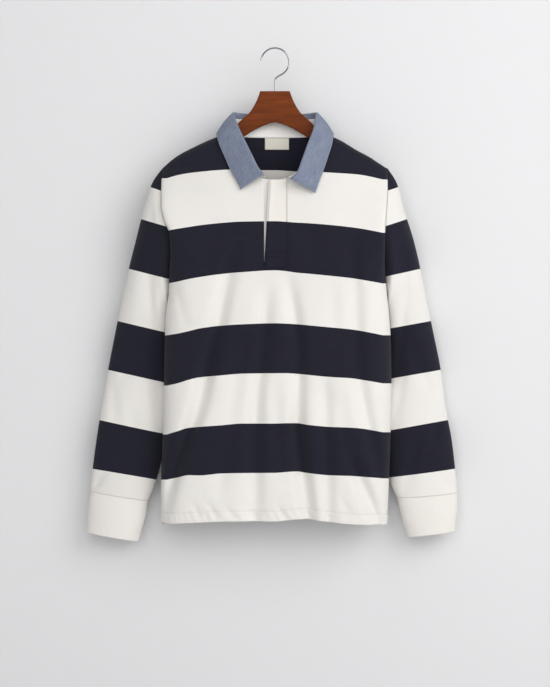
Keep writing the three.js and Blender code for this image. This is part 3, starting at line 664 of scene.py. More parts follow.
def striped(name, edges, white=OFF_WHITE, strength=1.0, seam_painted_shade=0.94):
    """Navy above the first edge, then white and navy in turn."""
    material, tree, shader, fabric, tone = cloth_material(name, 0.95, 0.06, 0.14)
    waver = times(tree, maths(tree, "SUBTRACT", tone["Fleck"], 0.5), EDGE_WAVER)
    down = plus(tree, parts_of(tree, fabric)[1], waver)
    stripe = maths(tree, "LESS_THAN", down, edges[0] * MM)
    for i, edge in enumerate(edges[1:]):
        step = maths(tree, "LESS_THAN", down, edge * MM)
        stripe = plus(tree, stripe, step if i % 2 else times(tree, step, -1))
    # Single courses take the dye a little differently, which shows as faint level streaks.
    streak = noise(tree, fabric, COURSE_STREAKS)
    worn = plus(tree, times(tree, streak.outputs[0], 0.55), times(tree, tone["Fleck"], 0.45))
    navy = mix_colour(tree, worn, scaled(NAVY, 0.45), scaled(NAVY, 1.6))
    pale = mix_colour(tree, worn, scaled(white, 0.95), scaled(white, 1.03))
    # Along a stitch line the colour is darkened: painted shade in the pressed groove.
    groove_and_painted_shade = groove_of(tree, "Seam", 0.0014)
    shade = remapped(tree, tone["Tone"], 0.95, 1.04)
    shade = times(tree, shade, remapped(tree, groove_and_painted_shade.outputs["Shade"], 1.0, seam_painted_shade))
    toned_colour(tree, shader, mix_colour(tree, stripe, navy, pale), shade)
    knit = node(tree, "ShaderNodeGroup", node_tree=KNIT)
    link(tree, fabric, knit.inputs["Fabric"])
    bump(tree, shader, knit.outputs[0], 0.00022, 0.4 * strength)
    return material


BODY_JERSEY = striped("Striped Jersey Body", BODY_EDGES)
SLEEVE_JERSEY = striped("Striped Jersey Sleeve", SLEEVE_EDGES)
# The placket's stitch lines get a deeper painted shade.
PLACKET_CLOTH = striped("Striped Placket", BODY_EDGES, (0.81, 0.775, 0.722), 0.6, 0.66)
print("stripe edges", len(BODY_EDGES), "on the body,", len(SLEEVE_EDGES), "on a sleeve")

# %% [markdown]
# ## Front and back panels
# Each panel is one grid. Its columns start on the neck seam or the shoulder ridge and spread down to
# the section of the body. Its rows go down to the hem. The front's slit is cut with straight cuts,
# which keep the grid clean beside them.

# %% Panels
NECK_COLUMNS = 34
SHOULDER_COLUMNS = 66
ARM_ROWS = 84
BODY_ROWS = 92
HEM_ROWS = 24
HEM_BAND = 34  # the last rows stand closer over this height
SIDE_CROWDING = 0.6
SPREAD_RATE = 1.15
LAST_INSIDE = 0.9995
HEM_TURN = 19  # height of the turned hem
SLIT = {"left": -20, "right": 14, "bottom": -396}
# Each row: place across the front, depth of the hem's puckers there.
PUCKERS = [
    (-210, 0.2), (-170, 0.3), (-135, 0.9), (-60, 0.9), (-10, 0.5), (20, 0.9), (55, 0.8), (80, 0.25),
    (208, 0.2),
]
PUCKER_GAIN = 0.6
PUCKER_LENGTH = 19
HEM_PROUD = 0.8  # how far the turned hem stands out
STITCH_DRAW = 0.4  # how far the hem's stitch line is drawn in
SLIT_REACH = 45  # only faces this near the slit are cut
SLIT_BELOW = 12


def neck_seam(side, around):
    """The neck seam by the angle from the middle of the front to the middle of the back."""
    around = np.asarray(around, float)
    a = np.radians(around)
    power = 2 / NECK_ROUNDNESS
    x = side * NECK_HALF_WIDTH * np.abs(np.sin(a)) ** power
    drop = np.where(around <= 90, NECK_FRONT_DROP, NECK_BACK_DROP) * np.abs(np.cos(a)) ** power
    return x, NECK_SIDE_Z - drop


# %% Panel columns and rows
def panel_columns(face):
    """Places along the top edge, their heights, and their share of the section, left to right."""
    turn = np.linspace(0, 90, NECK_COLUMNS + 1)
    nx, nz = neck_seam(1, turn if face == "front" else 180 - turn)
    sx = np.linspace(NECK_HALF_WIDTH, SHOULDER_X, SHOULDER_COLUMNS + 1)[1:]
    half = np.concatenate([nx, sx])
    x_top = np.concatenate([-half[:0:-1], half])
    z_top = ridge_at(x_top)
    in_neck = np.abs(x_top) <= NECK_HALF_WIDTH + 1e-6
    z_top[in_neck] = np.concatenate([nz[:0:-1], nz])
    count = len(half) - 1
    place = np.abs(np.arange(-count, count + 1)) / count
    section = place + (np.sin(np.pi / 2 * place) - place) * SIDE_CROWDING
    z_top[[0, -1]] = SHOULDER_TIP_Z
    return x_top, z_top, section


def panel_rows(drop):
    """Shares of a row's drop above and below the underarm. drop is the height of the lower part."""
    arm = (1 - np.cos(np.linspace(0, np.pi, ARM_ROWS + 1))) / 2
    knee = 1 - HEM_BAND / drop
    above, below = np.linspace(0, knee, BODY_ROWS + 1)[1:], np.linspace(knee, 1, HEM_ROWS + 1)[1:]
    body = np.concatenate([above, below])
    arm = np.concatenate([arm, np.ones(len(body))])
    return arm, np.concatenate([np.zeros(ARM_ROWS + 1), body])


def hem_at(face, side, section):
    """Height of the hem at shares of the section."""
    return read(HEM, 1 if face == "front" else 2, side * section * SHOULDER_X)


# %% Panel grid
def panel_grid(face):
    """Outer points of a panel, their fabric places and their distance above the hem."""
    x_top, z_top, section = panel_columns(face)
    side = np.where(x_top < 0, -1, 1)
    edge = np.abs(x_top) >= SHOULDER_X - 1e-6
    hem = hem_at(face, side, section)
    arm, body = panel_rows(UNDERARM_Z - hem.mean())
    z = z_top[None] + (UNDERARM_Z - z_top[None]) * arm[:, None]
    z = z + (hem - z) * body[:, None]
    spread = smooth(arm * SPREAD_RATE)[:, None]
    share = np.abs(x_top)[None] / SHOULDER_X * (1 - spread) + section[None] * spread
    share = np.where(edge[None], 1, np.minimum(share, LAST_INSIDE))
    x = side * side_at(np.broadcast_to(side, z.shape), z) * share
    grid = on_panel(face, x, z)
    vent = np.clip((VENT_TOP_Z - z) / (VENT_TOP_Z - VENT_BOTTOM_Z), 0, 1)
    grid[..., 1] = np.where(edge[None] & (vent > 0), face_sign(face) * VENT_OPEN * vent, grid[..., 1])
    across = running(grid)
    across -= across[:, [across.shape[1] // 2]]
    v = body_fabric(*(as_seen(x, grid[..., 1], z) if face == "front" else (x, z)))
    return grid, np.stack([across, v], axis=-1) * MM, z - hem[None]


def keep_side(face, grid, by):
    """Points of a panel, kept at least so far on their own side of the seams' plane."""
    sign = face_sign(face)
    depth = np.maximum(grid[..., 1:2] * sign, by) * sign
    return np.concatenate([grid[..., :1], depth, grid[..., 2:]], axis=-1)


# %% Hem and wall
def hem_relief(grid, up):
    """The turned hem stands proud, with a drawn-in stitch line and slanting puckers below it."""
    # The puckers wander: their spacing and slant change slowly across the shirt.
    step = HEM_PROUD * smooth((HEM_TURN - up) / 3)
    drawn = STITCH_DRAW * np.exp(-(((up - HEM_TURN) / 1.8) ** 2))
    x = grid[..., 0]
    wander = 3 * np.sin(x / 23) + 2 * np.sin(x / 9 + 1)
    turns = (x + wander + 0.55 * (up - HEM_TURN)) * 2 * np.pi / PUCKER_LENGTH
    wave = np.sin(turns * (1 + 0.25 * np.sin(x / 60)))
    fade = smooth(up / 5) * smooth((HEM_TURN + 9 - up) / 12)
    return step - drawn + PUCKER_GAIN * read(PUCKERS, 1, x) * wave * fade


def panel_mesh(face):
    grid, uv, up = panel_grid(face)
    normals = normals_of(grid, (100, grid.shape[1] // 2), (0, face_sign(face), 0))
    relief = hem_relief(grid, up)
    outer = keep_side(face, grid + normals * relief[..., None], SEAM_HALF)
    inner = grid - normals * (CLOTH - np.minimum(relief, 0))[..., None]
    inner = keep_side(face, inner, SEAM_HALF)
    return cloth_mesh(f"{face}_jersey", outer, inner, uv, seam=up - HEM_TURN)


# %% The front's slit
def cut_slit(mesh, faces_a_side):
    """Cut the front along the slit's three sides, take out what lies between and close the rim."""
    bm = bmesh.new()
    bm.from_mesh(mesh)
    sheet = bm.faces.layers.int.new("sheet")
    for f in bm.faces:
        f[sheet] = min(2, f.index // faces_a_side)
    left, right, bottom = (SLIT[k] * MM for k in ("left", "right", "bottom"))
    for point, normal in (
        ((left, 0, 0), (1, 0, 0)),
        ((right, 0, 0), (1, 0, 0)),
        ((0, 0, bottom), (0, 0, 1)),
    ):
        faces = set()
        for f in bm.faces:
            c = f.calc_center_median()
            if abs(c.x) < SLIT_REACH * MM and c.z > (SLIT["bottom"] - SLIT_BELOW) * MM:
                faces.add(f)
        edges = {e for f in faces for e in f.edges}
        verts = {v for f in faces for v in f.verts}
        bmesh.ops.bisect_plane(bm, geom=[*verts, *edges, *faces], plane_co=point, plane_no=normal)
    gone = []
    for f in bm.faces:
        c = f.calc_center_median()
        if left < c.x < right and c.z > bottom:
            gone.append(f)
    bmesh.ops.delete(bm, geom=gone, context="FACES")
    rim = [e for e in bm.edges if e.is_boundary and e.link_faces[0][sheet] < 2]
    bmesh.ops.bridge_loops(bm, edges=rim)
    bm.faces.layers.int.remove(sheet)
    bm.to_mesh(mesh)
    bm.free()
    print("slit rim edges", len(rim))
    return mesh


FACES_A_SIDE = (ARM_ROWS + BODY_ROWS + HEM_ROWS) * 2 * (NECK_COLUMNS + SHOULDER_COLUMNS)
front_mesh = cut_slit(panel_mesh("front"), FACES_A_SIDE)
piece("front_jersey", front_mesh, BODY_JERSEY, ["front_body"])
piece("back_jersey", panel_mesh("back"), BODY_JERSEY, ["back_body"])

# %% [markdown]
# ## Sleeves
# A sleeve is a tube whose rings turn from the upright armhole to the level cuff, like a fan about the
# underarm. Each ring is an oval between an outer and an inner edge. A simulated sleeve would fall
# in its own way; rings keep the outline that the garment shows.

# %% Sleeve tables
# Each row: place along, outer x z, inner x z, middle depth, front and back half depths.
LEFT_SLEEVE = [
    (1, -227.2, -247.7, -198.6, -458, 3, 28, 24),
    (2, -243.6, -297.4, -199, -470, 8, 31, 26),
    (3, -258.3, -352, -199.4, -486, 18, 33, 27),
    (4, -272.8, -408.1, -199, -508, 24, 32, 28),
    (5, -286.3, -467.4, -198.5, -545, 29, 31, 28),
    (6, -300.7, -537.9, -197, -598, 32, 29, 28),
    (7, -313.8, -606.6, -197, -650, 32, 28, 27),
    (8, -324.8, -671.1, -200, -702, 31, 28, 26),
    (9, -334.8, -736.6, -210.8, -759.8, 30, 27, 25),
    (10, -341.8, -792, -223.8, -808.1, 29, 26, 24),
    (11, -344.7, -820.2, -236.9, -838.3, 28, 24, 22),
]
RIGHT_SLEEVE = [
    (1, 225.2, -247.7, 208.8, -458, 3, 28, 24),
    (2, 239.5, -297.4, 209.2, -470, 8, 31, 26),
    (3, 258.3, -355, 210.6, -486, 18, 33, 27),
    (4, 271.9, -411.1, 211.5, -508, 25, 32, 28),
    (5, 283.5, -467.3, 210.5, -545, 31, 31, 28),
    (6, 296.7, -529.9, 208, -598, 33, 29, 28),
    (7, 309.9, -596.5, 206, -650, 33, 28, 27),
    (8, 318.8, -666.1, 204, -702, 31, 28, 26),
    (9, 329.8, -725.5, 208.8, -759.8, 30, 27, 25),
    (10, 336.2, -781.9, 215.8, -806.1, 29, 26, 24),
    (11, 339.4, -824, 227.8, -833.3, 28, 24, 22),
]
LEFT_CUFF = [
    (0, -344.8, -820.3, -236.9, -838.4, 28, 24.1, 22.1),
    (1, -347.6, -847.3, -240.8, -864.4, 27, 25, 23),
    (2, -349.6, -872.4, -247.8, -890.5, 26, 24, 22),
    (3, -351.3, -896.6, -253.9, -913.7, 26, 23, 21),
]
RIGHT_CUFF = [
    (0, 339.4, -824.1, 227.8, -833.4, 28, 24.1, 22.1),
    (1, 339.6, -848.3, 233.8, -859.4, 27, 25, 23),
    (2, 337.5, -871.4, 239.8, -882.5, 26, 24, 22),
    (3, 335.5, -894.6, 246.3, -905.6, 26, 23, 21),
]
RING_POINTS = 96
SLEEVE_RINGS = 150
ARMHOLE_GAP = 0.3
# Each row: place along, how much of the armhole's own form is left in the ring there.
ARMHOLE_FADE = [(0, 1), (1, 0.62), (2, 0.3), (3, 0.1), (4, 0)]
# Each row: height, then how much lower a stripe lies for each millimetre in from the outer edge of
# the left and of the right sleeve.
SLANT = [
    (-256, 0.3, 0.3),
    (-315, 0.28, 0.3),
    (-407, 0.245, 0.222),
    (-503, 0.23, 0.176),
    (-594, 0.215, 0.171),
    (-687, 0.215, 0.174),
    (-778, 0.165, 0.147),
    (-820, 0.17, 0.083),
]
print("rings in a sleeve's table", len(LEFT_SLEEVE))


# %% Sleeve rings
def ring_angles():
    return np.linspace(0, 2 * np.pi, RING_POINTS, endpoint=False)


def oval(values):
    """A ring from one row of sizes: from the shoulder down the front and up the back."""
    ox, oz, ix, iz, y, front_half, back_half = values
    a = ring_angles()
    share = (1 - np.cos(a)) / 2
    half = np.where(a < np.pi, front_half, back_half)
    return np.stack([ox + (ix - ox) * share, y - np.sin(a) * half, oz + (iz - oz) * share], axis=-1)


def armhole_ring(side, out):
    a = ring_angles()
    share = (1 - np.cos(a)) / 2
    z = SHOULDER_TIP_Z + (UNDERARM_Z - SHOULDER_TIP_Z) * share
    depth = np.where(a < np.pi, armhole_depth("front", share), armhole_depth("back", share))
    y = np.where(a < np.pi, -1, 1) * np.maximum(depth, SEAM_HALF)
    return np.stack([side * (side_at(np.full(z.shape, side), z) + out), y, z], axis=-1)


def sleeve_grid(side, table):
    start = armhole_ring(side, ARMHOLE_GAP)
    top, under = start[0], start[RING_POINTS // 2]
    depths = ARMHOLE_DEPTH["front"], ARMHOLE_DEPTH["back"]
    first = (0, top[0], top[2], under[0], under[2], 0, *depths)
    rows = [first] + table
    extra = start - oval(first[1:])
    grid = []
    for place in np.linspace(0, len(table), SLEEVE_RINGS):
        values = [float(read(rows, column, place)) for column in range(1, 8)]
        grid.append(oval(values) + extra * float(read(ARMHOLE_FADE, 1, place)))
    return np.array(grid)


def sleeve_fabric(side, grid):
    """V on a sleeve: the seen height at its outer edge, with the stripe's slant taken out."""
    x, z = as_seen(grid[..., 0], grid[..., 1], grid[..., 2])
    order = np.argsort(z[:, 0])
    edge_x = np.interp(z, z[order, 0], x[order, 0])
    inward = np.abs(edge_x) - np.abs(x)
    return z + read(SLANT, 1 if side < 0 else 2, z) * np.maximum(inward, 0)


# %% Sleeve folds
# Each row: share along, angle round in degrees, half length as a share, half width, slope, depth.
SLEEVE_FOLDS = [
    (0.19, 84, 0.12, 30, 0, 6.0),
    (0.32, 80, 0.13, 22, 20, 3.5),
    (0.42, 110, 0.12, 16, 45, 4.5),
    (0.55, 75, 0.10, 14, -50, 3.5),
    (0.62, 125, 0.10, 16, 35, 4.0),
    (0.74, 60, 0.08, 14, 40, 3.0),
    (0.80, 105, 0.10, 15, 50, 4.5),
    (0.93, 40, 0.05, 12, -30, 3.5),
    (0.35, 250, 0.12, 18, -45, 4.0),
    (0.60, 285, 0.12, 18, 40, 4.5),
    (0.82, 240, 0.10, 16, -40, 4.0),
]
RIGHT_SHIFT = 0.04  # the right sleeve's folds lie a little further down


def sleeve_troughs(grid, side):
    """Depth of the sleeve's soft troughs, as long slanting dents."""
    along = np.linspace(0, 1, len(grid))[:, None]
    angle = np.degrees(ring_angles())[None]
    total = np.zeros(grid.shape[:2])
    for place, at, length, wide, slope, deep in SLEEVE_FOLDS:
        place = place if side < 0 else min(0.97, place + RIGHT_SHIFT)
        t = (along - place) / length
        off = (angle - at - slope * (along - place) / length * 0.4) / wide
        total += deep * np.exp(-t * t - off * off)
    return total * smooth((along - 0.04) / 0.1) * smooth((1.0 - along) / 0.04)


# %% Sleeve pieces
def ring_uv(grid, v):
    closed = np.concatenate([grid, grid[:, :1]], axis=1)
    return np.stack([running(closed)[:, :-1], v], axis=-1) * MM


def ring_normals(grid, side):
    return normals_of(grid, (len(grid) // 2, 0), (side, 0, 0), True)


def sleeve_mesh(name, side, table):
    grid = sleeve_grid(side, table)
    normals = ring_normals(grid, side)
    grid = grid - normals * sleeve_troughs(grid, side)[..., None]
    uv = ring_uv(grid, sleeve_fabric(side, grid))
    inner = grid - normals * CLOTH
    middle = grid[0].mean(0)
    towards = (middle - grid[0]) * np.array([0, 1, 1])
    inner[0] = grid[0] + towards / np.linalg.norm(towards, axis=-1, keepdims=True) * CLOTH
    return cloth_mesh(name, grid, inner, uv, True)


for name, side, table, solid in (
    ("left_sleeve_jersey", -1, LEFT_SLEEVE, "sleeve_left"),
    ("right_sleeve_jersey", 1, RIGHT_SLEEVE, "sleeve_right"),
):
    piece(name, sleeve_mesh(name, side, table), SLEEVE_JERSEY, [solid])

# %% [markdown]
# ## Cuffs
# The cuffs are a fine rib knit, softer and creamier than the jersey. The ribs are too fine to model,
# so they are a bump that follows the cuff's own UV map, and the colour darkens a little in step with
# them, as painted shade.

# %% Rib knit
CREAM = (0.84, 0.805, 0.755)
RIB_PITCH = 0.0022  # metres from rib to rib
RIB_CLOTH = CLOTH + 0.2


def rib_material():
    material, tree, shader, fabric, tone = cloth_material("Cream Rib Knit", 0.95, 0.15)
    rib = maths(tree, "SINE", times(tree, parts_of(tree, fabric)[0], 2 * math.pi / RIB_PITCH))
    colour = mix_colour(tree, tone["Fleck"], scaled(CREAM, 0.93), CREAM)
    # The colour darkens a little in step with the ribs: painted shade.
    shade = mix_colour(tree, remapped(tree, rib, 0.0, 0.12), colour, scaled(CREAM, 0.8))
    link(tree, shade, shader.inputs["Base Color"])
    bump(tree, shader, rib, 0.0003, 0.4)
    return material


RIB = rib_material()
CUFF_RINGS = 40


def cuff_mesh(name, side, table):
    places = np.linspace(0, len(table) - 1, CUFF_RINGS)
    grid = np.array([oval([float(read(table, k, place)) for k in range(1, 8)]) for place in places])
    inner = grid - ring_normals(grid, side) * RIB_CLOTH
    return cloth_mesh(name, grid, inner, ring_uv(grid, grid[..., 2]), True)


for name, side, table, solid in (
    ("left_cuff_rib", -1, LEFT_CUFF, "cuff_left"),
    ("right_cuff_rib", 1, RIGHT_CUFF, "cuff_right"),
):
    piece(name, cuff_mesh(name, side, table), RIB, [solid])

# %% [markdown]
# ## Collar
# The collar is one strip of chambray that folds over at the neck, on a white band. A table gives the
# turned edge and the free edge at stations round the neck, and each station's section is a short way
# up inside, a round turn and a fall to the free edge.

# %% Collar tables
# Each row: angle round the neck, turned edge x z y, free edge x z.
LEFT_COLLAR = [
    (10, -19, -237, -60, -63, -264),
    (22, -30, -222, -58, -70, -249),
    (36, -41, -199, -53, -80, -231),
    (52, -56, -168, -42, -92, -204),
    (70, -68, -140, -27, -103, -178),
    (88, -73, -121, -8, -109, -157.5),
    (112, -67, -117, 12, -98, -172),
    (146, -36, -117, 24, -54, -184),
    (180, 0, -117, 28, 0, -187),
]
RIGHT_COLLAR = [
    (13, 29, -247, -64, 74, -270),
    (24, 40, -232, -62, 81, -249),
    (37, 49, -206, -56, 89, -228),
    (52, 58, -180, -46, 97, -204),
    (70, 69, -150, -31, 105, -178),
    (88, 74, -122, -9, 109, -157.5),
    (112, 68, -117, 12, 98, -172),
    (146, 36, -117, 24, 54, -184),
    (180, 0, -117, 28, 0, -187),
]
COLLAR_STATIONS = 161
COLLAR_LIFT = 6
FOLD_RADIUS = 3.2
FOLD_TURN = 150  # degrees round the fold
INSIDE_TURN = 12
INSIDE_STEPS, FOLD_STEPS, FALL_STEPS = 5, 9, 22
LEAF_ROWS = INSIDE_STEPS + FOLD_STEPS + FALL_STEPS - 2
BAND_RISE = 1.6
BAND_AIM = 40  # the band leans to a place this far above the neck's sides
RIDGE_CROSSING = (82, 16)  # degrees where the free edge meets the shoulder ridge, and how many it takes
COLLAR_STITCH = 4.5  # from the free edge
RISE_SHARE = 0.55  # the most of the stand that the inside turn takes
LEAF_BULGE = 0.05
print("collar stations", COLLAR_STATIONS)


# %% Collar form
def unit(v):
    return v / np.linalg.norm(v)


def collar_stations():
    stations = []
    half = COLLAR_STATIONS // 2
    for i in range(COLLAR_STATIONS):
        side = -1 if i <= half else 1
        table = LEFT_COLLAR if side < 0 else RIGHT_COLLAR
        around = 180 + (table[0][0] - 180) * abs(i - half) / half
        fx, fz, fy, ex, ez = (float(read(table, column, around)) for column in range(1, 6))
        sx, sz = (float(v) for v in neck_seam(side, around))
        inward = unit(np.array([-sx, NECK_SIDE_Z + BAND_AIM - sz])) * BAND_RISE
        seam_face = "front" if around <= 90 else "back"
        # The free edge crosses the shoulder ridge smoothly.
        over = smooth((around - RIDGE_CROSSING[0]) / RIDGE_CROSSING[1])
        front_edge, back_edge = (on_panel(f, ex, ez, COLLAR_LIFT) for f in ("front", "back"))
        edge = front_edge * (1 - over) + back_edge * over
        seam = on_panel(seam_face, sx + inward[0], sz + inward[1], -1)
        stations.append((seam, np.array([fx, fy, fz]), edge))
    return stations


def leaf_section(seam, fold, edge):
    """One section of the leaf: up inside, round the turn and down to the free edge."""
    rise = fold - seam
    inside = min(INSIDE_TURN, np.linalg.norm(rise) * RISE_SHARE)
    rise, fall = unit(rise), unit(edge - fold)
    away = unit((fall + rise) - rise * np.dot(fall + rise, rise))
    steps = np.linspace(0, 1, INSIDE_STEPS)
    points = [fold - rise * (inside - (inside - FOLD_RADIUS) * t) for t in steps]
    centre = fold - rise * FOLD_RADIUS + away * FOLD_RADIUS
    for turn in np.radians(np.linspace(0, FOLD_TURN, FOLD_STEPS))[1:]:
        points.append(centre + (rise * np.sin(turn) - away * np.cos(turn)) * FOLD_RADIUS)
    start = points[-1]
    bulge = LEAF_BULGE * np.linalg.norm(edge - start)
    for t in np.linspace(0, 1, FALL_STEPS)[1:]:
        points.append(start + (edge - start) * t + away * bulge * math.sin(math.pi * t))
    return points


def strip_mesh(name, sections, thick, test, way, edge=None):
    """A wall from sections along a strip. Its outside faces the way at the test place."""
    grid = np.array(sections)
    normals = normals_of(grid, test, way)
    along = running(grid, 0)[:, test[1], None]
    uv = np.stack([running(grid), np.broadcast_to(along, grid.shape[:2])], axis=-1) * MM
    seam = None if edge is None else edge - COLLAR_STITCH
    return cloth_mesh(name, grid, grid - normals * thick, uv, seam=seam, edge=edge)


def from_edge(sections):
    """Distance of each point from the collar's free edge or its nearer end."""
    grid = np.array(sections)
    down, along = running(grid), running(grid, 0)
    return np.minimum(down[:, -1:] - down, np.minimum(along, along[-1:] - along))


# %% [markdown]
# Chambray has a blue warp and a pale weft, so its colour is a fine mix with slubs along the threads.

# %% Chambray and tape
def woven_material(name, warp, weft, threads, roughness, strength):
    """Plain weave of two yarns with slubs."""
    material, tree, shader, fabric, tone = cloth_material(name, roughness, 0.1)
    waves, slubs = [], []
    for axis, place in enumerate(parts_of(tree, fabric)[:2]):
        waves.append(maths(tree, "SINE", times(tree, place, 2 * math.pi * threads)))
        fine = threads * 0.6
        slub = noise(tree, fabric, (fine, 60, 1) if axis == 0 else (60, fine, 1))
        slubs.append(times(tree, maths(tree, "SUBTRACT", slub.outputs[0], 0.5), 0.7))
    weave = times(tree, waves[0], waves[1])
    mixed = plus(tree, plus(tree, remapped(tree, weave, 0.3, 0.5), slubs[0]), slubs[1])
    # The colour is paler near a cut and turned edge, and its stitch line is drawn in.
    groove_and_painted_shade = groove_of(tree, "Seam", 0.0011)
    rim = times(tree, groove_of(tree, "Edge", 0.0016).outputs["Shade"], 0.4)
    colour = mix_colour(tree, rim, mix_colour(tree, mixed, warp, weft), scaled(weft, 1.2))
    shade = remapped(tree, tone["Tone"], 0.92, 1.08)
    # Along the stitch line the colour is darkened: painted shade in the groove.
    shade = times(tree, shade, remapped(tree, groove_and_painted_shade.outputs["Shade"], 1.0, 0.84))
    toned_colour(tree, shader, colour, shade)
    height = plus(tree, weave, times(tree, groove_and_painted_shade.outputs["Height"], 3))
    bump(tree, shader, height, 0.0002, strength)
    return material


CHAMBRAY = woven_material("Blue Chambray", (0.105, 0.14, 0.225), (0.37, 0.395, 0.465), 1250, 0.9, 0.35)
TAPE = woven_material("White Neck Band", (0.84, 0.825, 0.79), (0.92, 0.905, 0.875), 1200, 0.9, 0.4)
LABEL_COLOURS = (0.70, 0.66, 0.56), (0.80, 0.77, 0.69)
LABEL_WEAVE = woven_material("Cream Label Weave", *LABEL_COLOURS, 1500, 0.85, 0.4)

stations = collar_stations()
middle = COLLAR_STATIONS // 2
leaf_sections = [leaf_section(*s) for s in stations]
LEAF_TEST = (middle, LEAF_ROWS - 2)  # a place on the leaf that faces back
BACKWARD = (0, 1, 0)
leaf_edge = from_edge(leaf_sections)
leaf_mesh = strip_mesh("collar_chambray", leaf_sections, CLOTH, LEAF_TEST, BACKWARD, leaf_edge)
piece("collar_chambray", leaf_mesh, CHAMBRAY, ["collar_leaf"])


def band_sections():
    sections = []
    for seam, fold, _ in stations:
        rise = fold - seam
        inside = min(INSIDE_TURN, np.linalg.norm(rise) * RISE_SHARE) + 0.3
        top = fold - unit(rise) * inside
        sections.append([seam + (top - seam) * t for t in np.linspace(0, 1, 9)])
    return sections


band_mesh = strip_mesh("neck_band_tape", band_sections(), CLOTH, (middle, 4), BACKWARD)
piece("neck_band_tape", band_mesh, TAPE, ["neck_band"])

# %% [markdown]
# ## Placket and label
# The strips lie on the front and use its own form, moved out or in, so they follow it exactly. They
# carry the front's stripes. The label is bare.

# %% Strips
OVER = {"left_top": -11, "left_bottom": -20, "right": 24, "bottom": -406}
UNDER = {"left": -26, "right": 12, "bottom": -402}
STRIP = 1.3
STRIP_OUT = 0.6  # the over placket's distance off the front
UNDER_GAP = 0.9  # the under placket's distance behind the front
LABEL_GAP = 0.6
PLACKET_CURL = 2.2  # how far the free edge stands off, and over what shares across and down
CURL_WIDTH = 0.22
CURL_FOOT = 0.78
EDGE_STITCH = 2.5  # from the placket's long edges
STITCH_LOW = 18  # two stitch lines cross the placket this far above its foot
STITCH_HIGH = 27
LABEL = {"left": -18.9, "right": 25.9, "top": -164, "bottom": -185, "thick": 1.0}


def neck_top(x):
    share = np.minimum(1, np.abs(x) / NECK_HALF_WIDTH)
    return NECK_SIDE_Z - NECK_FRONT_DROP * (1 - share**NECK_ROUNDNESS) ** (1 / NECK_ROUNDNESS)


def placket_seams(x, up):
    """Distance from the placket's stitch lines: one inside each long edge and two across its foot."""
    sides = np.minimum(x - x[:, :1], x[:, -1:] - x) - EDGE_STITCH
    return np.minimum(sides, np.minimum(np.abs(up - STITCH_LOW), np.abs(up - STITCH_HIGH)))


def panel_strip(
    name, face, top, bottom, left, right, out, thick, rows=90, columns=36, lift=None, stitched=False
):
    """A strip between two edges, made from the panel's points. left and right are (top, bottom)."""
    t = np.linspace(0, 1, rows)[:, None]
    s = np.linspace(0, 1, columns)[None]
    x = (left[0] + (left[1] - left[0]) * t) * (1 - s) + (right[0] + (right[1] - right[0]) * t) * s
    upper = top(x)
    z = upper + (bottom - upper) * t
    lifted = out if lift is None else out + lift(s, t)
    near = on_panel(face, x, z, lifted)
    far = on_panel(face, x, z, lifted + thick)
    v = body_fabric(*(as_seen(x, far[..., 1], z) if face == "front" else (x, z)))
    seam = placket_seams(x, z - bottom) if stitched else None
    return cloth_mesh(name, far, near, np.stack([x, v], axis=-1) * MM, seam=seam)


def under_neck(x):
    return neck_top(x) - 1


def placket_lift(s, t):
    """The free left edge stands off the panel above the stitch lines."""
    return PLACKET_CURL * np.exp(-((s / CURL_WIDTH) ** 2)) * smooth((CURL_FOOT - t) / 0.5)


over_mesh = panel_strip(
    "over_placket", "front", under_neck, OVER["bottom"],
    (OVER["left_top"], OVER["left_bottom"]), (OVER["right"], OVER["right"]), STRIP_OUT, STRIP,
    lift=placket_lift, stitched=True,
)
under_mesh = panel_strip(
    "under_placket", "front", under_neck, UNDER["bottom"],
    (UNDER["left"], UNDER["left"]), (UNDER["right"], UNDER["right"]), -CLOTH - UNDER_GAP - STRIP, STRIP,
)
label_mesh = panel_strip(
    "neck_label_weave", "back", lambda x: np.full(x.shape, LABEL["top"]), LABEL["bottom"],
    (LABEL["left"], LABEL["left"]), (LABEL["right"], LABEL["right"]),
    -CLOTH - LABEL_GAP - LABEL["thick"], LABEL["thick"], 12, 24,
)
piece("over_placket", over_mesh, PLACKET_CLOTH, ["placket_over"])
piece("under_placket", under_mesh, TAPE, ["placket_under"])
piece("neck_label_weave", label_mesh, LABEL_WEAVE, ["neck_label"])


# %% [markdown]
# ## Stitches
# Each stitch is a short thread lying along a seam line, and a shirt has hundreds. Geometry Nodes place
# them: a line of edges becomes a curve, the curve is cut into even steps, and a small spindle stands on
# each step. Pitch, length and width are inputs, so one group sews every seam. The result is baked.

